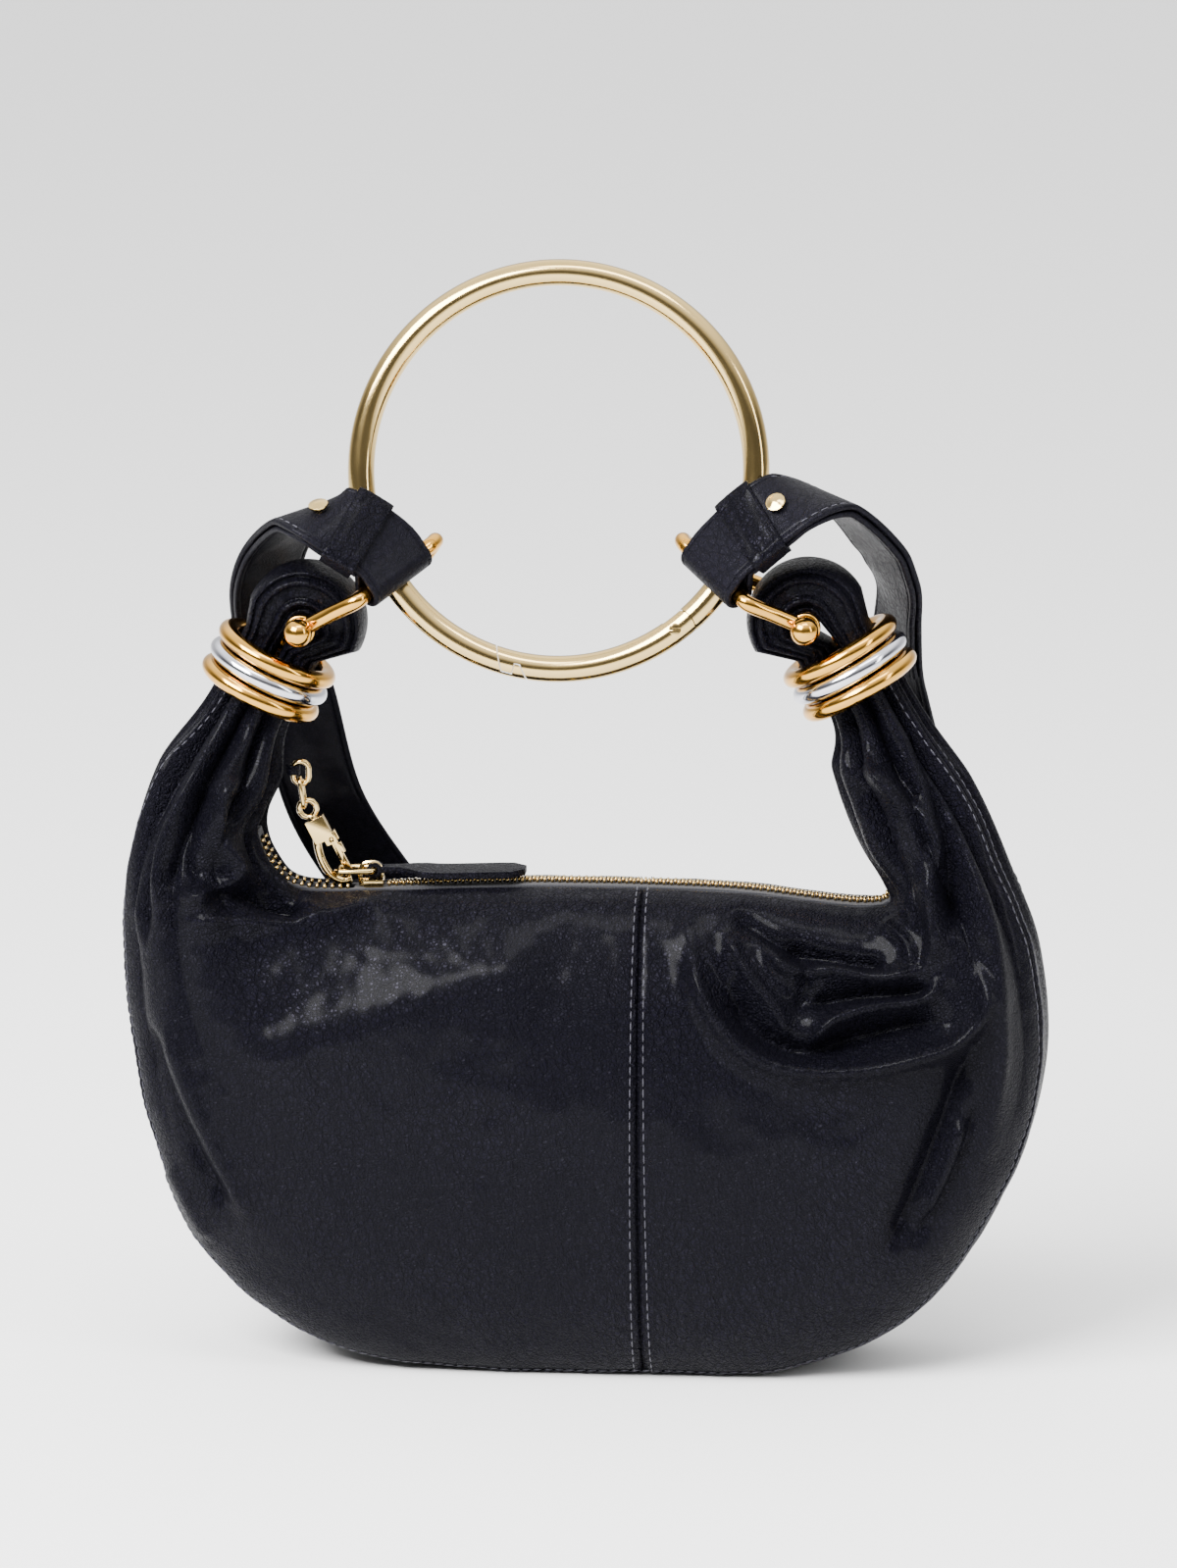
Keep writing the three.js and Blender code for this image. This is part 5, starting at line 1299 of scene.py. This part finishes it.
@dataclass
class Handle:
    """The ring handle with its gate and pin, sizes in millimetres."""

    centre: Array
    diameter: float = 130.0
    rod: float = 8.2
    lean: float = 12.0
    pin_angle: float = -52.4
    knuckle: float = 6.0
    tongue: float = 2.6
    pin: float = 2.4
    pin_head: float = 3.8
    gap: float = 0.3
    nose: tuple[tuple[float, float, int], ...] = (
        (-108.9, -1.3, -1), (-104.6, 0.72, -1), (-101.9, 0.72, 1),
        (-101.6, -0.06, 1), (-99.8, -0.06, -1), (-96.6, 1.3, -1),
    )

    @property
    def radius(self) -> float:
        """The radius of the rod's middle line."""
        return (self.diameter - self.rod) / 2

    @property
    def up(self) -> Array:
        """Up in the ring's plane."""
        return vec(0, math.sin(math.radians(self.lean)), math.cos(math.radians(self.lean)))

    @property
    def front(self) -> Array:
        """The way that the ring faces."""
        return vec(0, -math.cos(math.radians(self.lean)), math.sin(math.radians(self.lean)))

    def point(self, degrees: float, radius: Optional[float] = None) -> Array:
        """A point of the ring's plane by angle and radius."""
        r = self.radius if radius is None else radius
        t = math.radians(degrees)
        return self.centre + vec(math.cos(t) * r, 0, 0) + self.up * math.sin(t) * r

    def torus(self, name: str) -> bpy.types.Object:
        """The whole ring as a smooth rod."""
        turns = np.linspace(0, 2 * math.pi, 240, endpoint=False)
        angles = np.linspace(0, 2 * math.pi, 36, endpoint=False)
        rings = []
        for t in turns:
            radial = vec(math.cos(t), 0, 0) + self.up * math.sin(t)
            rings.append(self.centre + radial * self.radius + (
                np.cos(angles)[:, None] * radial + np.sin(angles)[:, None] * self.front) * self.rod / 2)
        return Shells().add(np.array(rings), loft_faces(len(rings), 36, closed=True)).piece(name)

    def prism(self, name: str, outline: Sequence[tuple[float, float]], thick: float) -> bpy.types.Object:
        """A flat outline in the ring's plane, thickened to both sides of it."""
        flat = np.array([self.centre + vec(a, 0, 0) + self.up * b for a, b in outline])
        rings = np.array([flat - self.front * thick / 2, flat + self.front * thick / 2])
        return Shells().add(rings, loft_faces(2, len(flat))).piece(name)

    def region(self, name: str, clearance: float) -> bpy.types.Object:
        """The space that the gate takes, grown by a clearance."""
        turn = math.degrees(clearance / self.radius)
        points = []
        for degrees, share, back in self.nose:
            a = math.radians(degrees + back * turn)
            r = self.radius + share * self.rod / 2 + clearance
            points.append((math.cos(a) * r, math.sin(a) * r))
        outside, inside = self.radius + self.rod, self.radius - self.rod
        for a in np.radians(np.linspace(-96.6, self.pin_angle, 7)[1:]):
            points.append((math.cos(a) * outside, math.sin(a) * outside))
        p = np.array([math.cos(math.radians(self.pin_angle)), math.sin(math.radians(self.pin_angle))]) * self.radius
        knuckle = self.knuckle + clearance
        for a in np.linspace(-60, 60, 17):
            t = math.radians(self.pin_angle + 90 + a)
            points.append((p[0] + math.cos(t) * knuckle, p[1] + math.sin(t) * knuckle))
        for a in np.radians(np.linspace(self.pin_angle, -108.9, 8)):
            points.append((math.cos(a) * inside, math.sin(a) * inside))
        return self.prism(name, points, 2 * self.rod)

    def along_pin(self, distance: float) -> Array:
        """A point on the gate pin's axis."""
        return self.point(self.pin_angle) + self.front * distance

    def combine(self, obj: bpy.types.Object, tool: bpy.types.Object, operation: str) -> bpy.types.Object:
        """The object after one join, cut or overlap with a tool, which is then removed."""
        mod = obj.modifiers.new("cut", "BOOLEAN")
        mod.operation = operation
        mod.solver = "EXACT"
        mod.object = tool
        out = baked(obj)
        bpy.data.objects.remove(tool, do_unlink=True)
        return out

    def tongue_outline(self) -> list[tuple[float, float]]:
        """The ring's tongue, which goes into the gate's slot."""
        p = np.array([math.cos(math.radians(self.pin_angle)), math.sin(math.radians(self.pin_angle))]) * self.radius
        r = self.rod / 2 - 0.6
        points = []
        for a in np.linspace(90, 270, 17):
            t = math.radians(self.pin_angle + 90 + a)
            points.append((p[0] + math.cos(t) * r, p[1] + math.sin(t) * r))
        t = math.radians(self.pin_angle + 90)
        ahead = np.array([math.cos(t), math.sin(t)]) * (self.knuckle + 2)
        points.append((points[-1][0] + ahead[0], points[-1][1] + ahead[1]))
        points.append((points[0][0] + ahead[0], points[0][1] + ahead[1]))
        return points

    def bar(self, name: str, start: float, end: float, diameter: float, sides: int = 40) -> bpy.types.Object:
        """A plain cylinder on the pin's axis."""
        shells = Shells().turned(
            self.along_pin(0), self.front, [(diameter / 2, start), (diameter / 2, end)], sides
        )
        return shells.piece(name)

    def build(self) -> None:
        """Builds the ring, its gate and the pin."""
        hole = self.pin + 2 * self.gap
        ring = self.combine(self.torus("ring_handle_metal"), self.region("space", self.gap), "DIFFERENCE")
        ring = self.combine(ring, self.prism("tongue", self.tongue_outline(), self.tongue), "UNION")
        ring = self.combine(ring, self.bar("hole", -self.rod, self.rod, hole), "DIFFERENCE")
        sharpen(ring, 35)
        dress(ring, PALE_GOLD, ["ring_handle"])
        gate = self.combine(self.torus("ring_gate_metal"), self.region("space", 0.0), "INTERSECT")
        slot = self.tongue + 2 * self.gap
        gate = self.combine(gate, self.bar("hub", -slot / 2, slot / 2, self.rod + 1), "DIFFERENCE")
        ahead = unit(self.point(self.pin_angle + 5) - self.point(self.pin_angle))
        middle = self.along_pin(0) + ahead * self.rod
        side = np.cross(ahead, self.front)
        flat = [middle + ahead * a * self.rod + side * b * self.rod for a, b in ((-1, -1), (1, -1), (1, 1), (-1, 1))]
        rings = np.array([np.array(flat) - self.front * slot / 2, np.array(flat) + self.front * slot / 2])
        gate = self.combine(gate, Shells().add(rings, loft_faces(2, 4)).piece("slot"), "DIFFERENCE")
        gate = self.combine(gate, self.bar("hole", -self.rod, self.rod, hole), "DIFFERENCE")
        sharpen(gate, 35)
        dress(gate, PALE_GOLD, ["ring_gate"], Body.GATE)
        dress(copied("gate_pin", "gate_pin_metal", 0.18), PALE_GOLD, ["gate_pin"])


# ---- shackles and strap


class Roll(NamedTuple):
    """Where a strap end wraps its shackle."""

    centre: Array
    axis: Array
    run: Array
    face: Array
    degrees: float


class RouteRow(NamedTuple):
    """A point of the strap's route, in strap widths from a named place, and its width's way."""

    place: str
    x: float
    y: float
    z: float
    across: tuple[float, float, float]


ROUTES = {
    "left": (
        RouteRow("roll", -0.85, -0.1, 0.75, (0.62, 0.66, 0.42)),
        RouteRow("roll", -1.1, 0.2, 0.72, (0.62, 0.77, 0.12)),
        RouteRow("horn", 0.09, 0.42, 1.63, (0.7, 0.7, 0.1)),
        RouteRow("horn", -0.12, 0.68, 1.18, (0.72, 0.69, 0.05)),
        RouteRow("horn", -0.16, 0.96, 0.69, (0.78, 0.62, 0.1)),
        RouteRow("horn", -0.05, 1.2, 0.05, (0.86, 0.4, 0.3)),
        RouteRow("horn", 0.15, 1.3, -0.55, (0.9, 0.12, 0.42)),
        RouteRow("horn", 0.54, 1.36, -2, (0.85, 0, 0.53)),
        RouteRow("back", -0.45, 0.02, 0.6, (0.72, 0, 0.69)),
        RouteRow("back", -0.3, 0.02, 0.47, (0.7, 0, 0.71)),
        RouteRow("back", -0.11, 0.02, 0.385, (0.38, 0, 0.92)),
    ),
    "right": (
        RouteRow("roll", 0.92, -0.08, 0.95, (-0.62, 0.66, 0.42)),
        RouteRow("roll", 1.42, 0.34, 0.9, (-0.42, 0.9, 0)),
        RouteRow("horn", 0.38, 0.4, 1.45, (-0.42, 0.88, -0.22)),
        RouteRow("horn", 0.52, 0.56, 1.13, (-0.45, 0.88, -0.15)),
        RouteRow("horn", 0.6, 0.83, 0.69, (-0.38, 0.92, -0.05)),
        RouteRow("horn", 0.58, 1.12, 0.2, (-0.5, 0.86, 0)),
        RouteRow("horn", 0.5, 1.34, -0.5, (-0.8, 0.58, -0.1)),
        RouteRow("horn", 0.66, 1.46, -1.7, (-0.97, 0.12, -0.18)),
        RouteRow("horn", 0.9, 1.46, -2.8, (-1, 0, -0.06)),
        RouteRow("back", 0.7, 0.1, 0.52, (-0.86, 0, 0.51)),
        RouteRow("back", 0.56, 0.05, 0.43, (-0.6, 0, 0.8)),
        RouteRow("back", 0.34, 0.02, 0.373, (-0.26, 0, 0.97)),
    ),
}
ROLL_PLACES = {
    "left": (213.1, -4.0, (0.62, 0.66, 0.42), (-0.684, 0.02, 0.71)),
    "right": (-31.5, -4.0, (-0.62, 0.66, 0.42), (0.684, 0.02, 0.71)),
}


@dataclass
class Strap:
    """The shoulder strap, its keepers and rivets, and the shackles, sizes in millimetres."""

    pouch: Pouch
    handle: Handle
    ends: dict[str, HornEnd]
    width: float = 25.0
    thickness: float = 2.0
    layer_gap: float = 0.45
    fit_gap: float = 0.3
    rod: float = 5.0
    ball: float = 8.8
    ear: float = 3.0
    keeper_wall: float = 1.0
    fine: int = 2
    rolls: dict[str, Roll] = field(default_factory=dict)

    def __post_init__(self) -> None:
        """Places the rolls."""
        self.roll_inner = self.rod / 2 + self.fit_gap
        for name, (degrees, slide, axis, run) in ROLL_PLACES.items():
            a = unit(np.array(axis))
            s = np.array(run) - a * float(np.dot(run, a))
            s = unit(s)
            tangent = unit(self.handle.point(degrees + 1) - self.handle.point(degrees))
            n = unit(np.cross(a, tangent))
            n = -n if n[1] < 0 else n
            reach = self.handle.rod / 2 + self.roll_inner + self.thickness + 2 * self.fit_gap
            centre = self.handle.point(degrees) - n * reach + a * slide
            face = unit(np.cross(a, s))
            face = -face if face[1] > 0 else face
            self.rolls[name] = Roll(centre, a, s, face, degrees)

    def route(self, name: str) -> tuple[list[Array], list[Array]]:
        """The chosen points of an end's route and its width directions, from the roll outwards."""
        roll = self.rolls[name]
        r = self.roll_inner + self.thickness / 2
        points = [roll.centre + roll.face * (r + along * 0.06) + roll.run * along for along in (0.6, 7.0)]
        ways = [roll.axis, roll.axis]
        for row in ROUTES[name]:
            if row.place == "back":
                points.append(vec(row.x * self.pouch.width / 2, self.pouch.depth / 2 + self.pouch.wall,
                                  row.z * self.pouch.horn_height))
            else:
                base = roll.centre if row.place == "roll" else self.ends[name].horn.end
                points.append(base + vec(row.x, row.y, row.z) * self.width)
            ways.append(unit(np.array(row.across)))
        return points, ways

    def span(self, name: str) -> tuple[Array, Array]:
        """Evenly spaced rows of an end, from its roll to the strap's lowest point."""
        points, ways = self.route(name)
        low = vec(0.1 * self.pouch.width / 2, self.pouch.depth / 2 + self.pouch.wall + 1.5,
                  0.355 * self.pouch.horn_height)
        points, ways = points + [low], ways + [vec(0, 0, 1)]
        if name == "right":
            points, ways = points[::-1], ways[::-1]
        path, widths = Curve(points), Curve(ways)
        shares = path.even(80 * self.fine)
        rows = np.array([path.at(t) for t in shares])
        across = unit(np.array([widths.at(t) for t in shares]))
        return (rows, across) if name == "left" else (rows[::-1], across[::-1])

    def frames(self, rows: Array, across: Array) -> tuple[Array, Array]:
        """The width and normal directions of each row."""
        steps = np.vstack([rows[1] - rows[0], rows[2:] - rows[:-2], rows[-1] - rows[-2]])
        t = unit(steps)
        w = unit(across - t * np.einsum("ij,ij->i", across, t)[:, None])
        return w, unit(np.cross(t, w))

    def undersides(self, rows: Array, across: Array, name: str) -> Array:
        """The way from each row to the layer under it."""
        _, n = self.frames(rows, across)
        last = -self.rolls[name].face
        out = []
        for v in n:
            last = -v if np.dot(v, last) < 0 else v
            out.append(last)
        return np.array(out)

    def tail(self, rows: Array, across: Array, name: str) -> tuple[Array, Array]:
        """The folded-back layer of an end."""
        drop = self.thickness + self.layer_gap
        under = self.undersides(rows, across, name)
        w, _ = self.frames(rows, across)
        roll = self.rolls[name]
        r = self.roll_inner + self.thickness / 2
        leave = roll.centre + roll.face * (0.2 - r) + roll.run * 2.4
        picked = range(2 * self.fine, 30 * self.fine + 1)
        points = [leave] + [rows[i] + under[i] * drop for i in picked]
        return np.array(points), np.array([roll.axis] + [w[i] for i in picked])

    def arc(self, name: str) -> tuple[Array, Array]:
        """The turn round the shackle, from the upper layer to the lower one."""
        roll = self.rolls[name]
        r = self.roll_inner + self.thickness / 2
        turns = np.radians(np.linspace(90, -90, 23))
        points = roll.centre + np.outer(np.sin(turns), roll.face) * r - np.outer(np.cos(turns), roll.run) * r
        return points, np.repeat(roll.axis[None, :], len(turns), axis=0)

    def section(self) -> Array:
        """The strap's cross-section: rounded edges and a burnished line beside each of them."""
        half, t = self.width / 2, self.thickness / 2
        top = []
        for x in (-1, -0.995, -0.975, -0.94, -0.87, -0.85, -0.83, -0.76, -0.4, 0, 0.4, 0.76, 0.83, 0.85, 0.87, 0.94, 0.975, 0.995, 1):
            edge = (1 - abs(x)) * half
            z = t * min(1.0, 0.25 + 0.75 * math.sqrt(max(0.0, 1 - max(0.0, 1 - edge / 0.9) ** 2)))
            if abs(abs(x) - 0.85) < 0.005:
                z -= 0.22
            top.append((x * half, z))
        return np.array(top + [(x, -z) for x, z in reversed(top)])

    def ribbon(self, rows: Array, across: Array) -> Array:
        """Rings of the strap's cross-section along rows."""
        w, n = self.frames(rows, across)
        section = self.section()
        return rows[:, None, :] + w[:, None, :] * section[None, :, :1] + n[:, None, :] * section[None, :, 1:]

    def strap(self) -> None:
        """The strap with its rolled ends, and its edge stitches."""
        left, left_across = self.span("left")
        right, right_across = self.span("right")
        tails = {"left": self.tail(left, left_across, "left"), "right": self.tail(right, right_across, "right")}
        arcs = {name: self.arc(name) for name in ("left", "right")}
        rows = np.concatenate([tails["left"][0][::-1], arcs["left"][0][::-1], left, right[::-1][1:], arcs["right"][0], tails["right"][0]])
        across = np.concatenate([tails["left"][1][::-1], arcs["left"][1][::-1], left_across, right_across[::-1][1:], arcs["right"][1], tails["right"][1]])
        rings = self.ribbon(rows, across)
        shells = Shells().add(rings, loft_faces(len(rings), rings.shape[1]))
        strap = shells.piece("strap_leather")
        sharpen(strap, 55)
        dress(strap, STRAP_LEATHER, ["strap"])
        lines = []
        for name, (points, ways) in (("left", (left, left_across)), ("right", (right, right_across))):
            w, _ = self.frames(points, ways)
            under = self.undersides(points, ways, name)
            for place in (-0.85, 0.85):
                lines.append((points + w * place * self.width / 2 - under * (self.thickness / 2 - 0.1))[8 * self.fine :])
        STRAP_STITCH.along("strap_stitches", lines, THREAD, Slot.LEATHER)
        for name, (points, ways) in (("left", (left, left_across)), ("right", (right, right_across))):
            self.keeper(name, points, ways)
            dress(copied(f"strap_rivet_{name}", f"strap_rivet_{name}_metal", 0.25, 3), PALE_GOLD,
                  [f"strap_rivet_{name}"])

    def keeper(self, name: str, points: Array, ways: Array) -> None:
        """The sleeve that holds both layers, slightly crumpled."""
        drop = (self.thickness + self.layer_gap) / 2
        under = self.undersides(points, ways, name)
        w, _ = self.frames(points, ways)
        first, last = 3 * self.fine, 6 * self.fine
        stack = 2 * self.thickness + self.layer_gap + 2 * self.fit_gap
        wide = self.width + 2 * self.fit_gap
        count = 64
        angles = np.linspace(0, 2 * math.pi, count, endpoint=False)
        grids = []
        for grow in (self.keeper_wall, 0.0):
            rings = []
            for share in np.linspace(0, 1, 15):
                spot = first + share * (last - first)
                i = int(min(math.floor(spot), last - 1))
                f = spot - i
                centre = points[i] * (1 - f) + points[i + 1] * f + (under[i] * (1 - f) + under[i + 1] * f) * drop
                a, b = w[i] * (1 - f) + w[i + 1] * f, under[i] * (1 - f) + under[i + 1] * f
                x = np.sign(np.cos(angles)) * np.abs(np.cos(angles)) ** 0.28 * (wide / 2 + grow)
                z = np.sign(np.sin(angles)) * np.abs(np.sin(angles)) ** 0.28 * (stack / 2 + grow)
                rough = np.array([
                    noise.noise(Vector((float(share) * 4, math.cos(t) * 3, math.sin(t) * 3))) for t in angles
                ]) * (0.35 if grow else 0.0)
                ring = centre + a * x[:, None] + b * (z + np.sign(z) * (rough + 0.1))[:, None]
                rings.append(ring)
            grids.append(np.array(rings))
        pts = np.concatenate([g.reshape(-1, 3) for g in grids])
        obj = new_object(f"strap_keeper_{name}_leather", pts, wall_faces(15, count, around=True))
        dress(obj, BODY_LEATHER, [f"strap_keeper_{name}"])

    def shackle(self, name: str) -> None:
        """A shackle: the bow round the ring, its ears, pin and ball heads."""
        pin, roll = self.ends[name].pin, self.rolls[name]
        face = self.ends[name].loop_depth / 2 + self.fit_gap
        ear = face + self.rod / 2

        def at(y: float) -> Array:
            return vec(pin[0], y, pin[2])

        def on_roll(along: float) -> Array:
            return roll.centre + roll.axis * along

        half = self.width / 2
        near, far = on_roll(-half - 4), on_roll(half + 4)
        inwards = unit(self.handle.centre - roll.centre)
        behind = self.handle.rod / 2 + self.rod / 2 + 4
        here = self.handle.point(roll.degrees)
        turn_top = far + roll.axis * 1.5 + vec(0, 3, 0)
        turn_back = here - self.handle.front * behind + inwards * 7
        path = Curve([
            at(-ear), (at(-ear) + near) / 2, near, on_roll(-half - 0.5), on_roll(half + 0.5), far,
            turn_top, turn_back, (turn_back + at(ear)) / 2 + vec(0, 4, 0), at(ear),
        ])
        shells = Shells().rod(path.points_along(220), self.rod, 24)
        head = (self.ball + 0.6) / 2
        t = self.ear / 2
        rim = [(head - 0.6, -t), (head - 0.15, -t + 0.15), (head, -t + 0.6), (head, t - 0.6), (head - 0.15, t - 0.15), (head - 0.6, t)]
        shoulder = self.ball / 2 + self.ear / 2 - 0.4
        for side in (-1, 1):
            shells.turned(at(side * ear), vec(0, 1, 0), rim)
            shells.ball(at(side * (ear + shoulder)), self.ball, vec(0, 1, 0))
        shells.turned(at(0), vec(0, 1, 0), [(self.rod / 2 - 0.5, -ear), (self.rod / 2 - 0.5, ear)])
        obj = shells.piece(f"shackle_{name}_metal")
        sharpen(obj, 60)
        dress(obj, YELLOW_GOLD, [f"shackle_{name}"])

    def build(self) -> None:
        """Builds the strap and both shackles."""
        self.strap()
        for name in ("left", "right"):
            self.shackle(name)


# ---- the zip and its clip


@dataclass
class Zip:
    """The zip: tape, teeth, slider, leather pull and the clip, sizes in millimetres."""

    pouch: Pouch
    start: float = 0.176
    slider: float = 0.331
    end: float = 0.745
    tape_top: float = 0.5

    def line(self, start: float, end: float, y: float, above: float) -> Array:
        """A line along the mouth, y off its middle and a height over it."""
        us = np.linspace(start, end, 220)
        inner, outer, _, _ = self.pouch.section(us)
        ahead = unit(np.gradient(inner, axis=0))
        down = np.stack([ahead[:, 2], np.zeros(len(us)), -ahead[:, 0]], -1)
        flip = np.einsum("ij,ij->i", down, outer - inner) < 0
        down[flip] *= -1
        return inner - down * above + vec(0, y, 0)

    def build(self) -> None:
        """Builds the zip."""
        dress(copied("zip_tape", "zip_tape_cloth", 0.15), TAPE, ["zip_tape"])
        middle = self.line(self.slider + 0.013, self.end - 0.006, 0, -self.tape_top + 0.85)
        teeth = CLOSED_TEETH.along("zip_teeth", [middle], PALE_GOLD, Slot.PALE_GOLD)
        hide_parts("zip_chain")
        sides = [self.line(self.start + 0.012, self.slider - 0.016, y, -self.tape_top + 0.55) for y in (-3.2, 3.2)]
        OPEN_TEETH.along("zip_teeth_open", sides, PALE_GOLD, Slot.PALE_GOLD)
        metal = {"zip_slider": 0.3, "pull_ring": 0.0, "clip_link": 0.0, "clip_dee": 0.0, "hook_body": 0.25}
        for node, bevel in metal.items():
            dress(copied(node, node + "_metal", bevel, 2), PALE_GOLD, [node])
        dress(copied("hook_lever", "hook_lever_metal", 0.2), PALE_GOLD, ["hook_lever"], Body.LEVER)
        dress(copied("zip_pull", "zip_pull_leather", 0.55, 3), BODY_LEATHER, ["zip_pull"])
        dress(copied("clip_tab", "clip_tab_leather", 0.3), BODY_LEATHER, ["clip_tab"])


# ---- studio


@dataclass(frozen=True)
class Studio:
    """The floor, the lights and the camera, lengths in metres."""

    azimuth: float = 5.0
    elevation: float = 12.0
    distance: float = 2.2
    target: tuple[float, float, float] = (0.0006, 0.0, 0.182)
    frame_height: float = 0.4845
    glow: tuple[tuple[float, float], ...] = ((0.0, 0.1), (0.34, 0.07), (0.52, 0.4), (0.75, 0.95), (1.0, 1.0))
    strength: float = 2.25

    def floor(self) -> None:
        """A plain pale floor without an edge in view."""
        mesh = bpy.data.meshes.new("floor")
        size = 30.0
        mesh.from_pydata([(-size, -size, 0), (size, -size, 0), (size, size, 0), (-size, size, 0)], [], [(0, 1, 2, 3)])
        obj = bpy.data.objects.new("floor", mesh)
        bpy.context.scene.collection.objects.link(obj)
        material = bpy.data.materials.new("pale floor")
        material.use_nodes = True
        shader = material.node_tree.nodes["Principled BSDF"]
        shader.inputs["Base Color"].default_value = colour("#f4f4f4")
        shader.inputs["Roughness"].default_value = 0.9
        shader.inputs["Specular IOR Level"].default_value = 0.1
        mesh.materials.append(material)

    def light(self, name: str, place: tuple[float, float, float], size: tuple[float, float], power: float) -> None:
        """A soft rectangular light that faces the bag.

        Args:
            name: The light's name.
            place: Where it stands.
            size: Its width and height.
            power: Its power in watts.
        """
        data = bpy.data.lights.new(name, "AREA")
        data.shape = "RECTANGLE"
        data.size, data.size_y = size
        data.energy = power
        obj = bpy.data.objects.new(name, data)
        bpy.context.scene.collection.objects.link(obj)
        obj.location = place
        aim = Vector((0, 0, 0.15)) - Vector(place)
        obj.rotation_euler = aim.to_track_quat("-Z", "Y").to_euler()

    def camera(self) -> None:
        """The camera at the photograph's angle and framing."""
        a, e = math.radians(self.azimuth), math.radians(self.elevation)
        back = Vector((math.sin(a) * math.cos(e), -math.cos(a) * math.cos(e), math.sin(e)))
        data = bpy.data.cameras.new("camera")
        data.sensor_width = 36.0
        data.lens = data.sensor_width * self.distance / self.frame_height
        data.clip_end = 100
        obj = bpy.data.objects.new("camera", data)
        bpy.context.scene.collection.objects.link(obj)
        obj.location = Vector(self.target) + back * self.distance
        obj.rotation_euler = (-back).to_track_quat("-Z", "Y").to_euler()
        bpy.context.scene.camera = obj

    def sky(self) -> None:
        """A soft room round the bag: bright above and behind, dark towards the camera."""
        world = bpy.data.worlds.new("studio")
        bpy.context.scene.world = world
        world.use_nodes = True
        tree = world.node_tree
        tree.nodes.clear()
        ahead = add_node(tree, "ShaderNodeTexCoord").outputs["Generated"]
        parts = add_node(tree, "ShaderNodeSeparateXYZ", {"Vector": ahead})
        ramp = add_node(tree, "ShaderNodeValToRGB", {"Fac": parts.outputs["Z"]})
        ramp.color_ramp.elements[0].position, ramp.color_ramp.elements[1].position = 0.0, 1.0
        for position, _ in self.glow[1:-1]:
            ramp.color_ramp.elements.new(position)
        for element, (position, value) in zip(ramp.color_ramp.elements, self.glow):
            element.position = position
            element.color = (value, value, value, 1)
        behind = add_node(
            tree,
            "ShaderNodeMapRange",
            {"Value": parts.outputs["Y"], "From Min": -0.1, "From Max": 0.9, "To Min": 0.0, "To Max": 0.4},
            interpolation_type="SMOOTHSTEP",
        )
        total = add_node(tree, "ShaderNodeVectorMath", {0: ramp.outputs["Color"], 1: behind.outputs[0]}, operation="ADD")
        shine = add_node(tree, "ShaderNodeBackground", {"Color": total.outputs[0], "Strength": self.strength})
        out = add_node(tree, "ShaderNodeOutputWorld")
        tree.links.new(shine.outputs[0], out.inputs["Surface"])

    def build(self) -> None:
        """Builds the studio."""
        self.camera()
        self.sky()
        self.floor()
        self.light("key", (-0.95, -1.2, 1.5), (1.3, 0.9), 150)
        self.light("top", (0.2, -0.6, 1.7), (1.0, 0.35), 14)
        self.light("side", (1.5, -0.8, 0.9), (0.25, 1.1), 9)


def main() -> None:
    """Builds the bag and its studio."""
    logging.basicConfig(level=logging.INFO, format="%(message)s")
    Studio().build()
    pouch = Pouch()
    ends = {name: HornEnd(name, pouch.horn(name)) for name in ("left", "right")}
    middle = (ends["left"].horn.end + ends["right"].horn.end) / 2
    handle = Handle(vec(middle[0] - 0.5, 6, middle[2] + 60.9))
    pouch.build()
    for end in ends.values():
        end.build()
    handle.build()
    Strap(pouch, handle, ends).build()
    Zip(pouch).build()


if __name__ == "__main__":
    main()
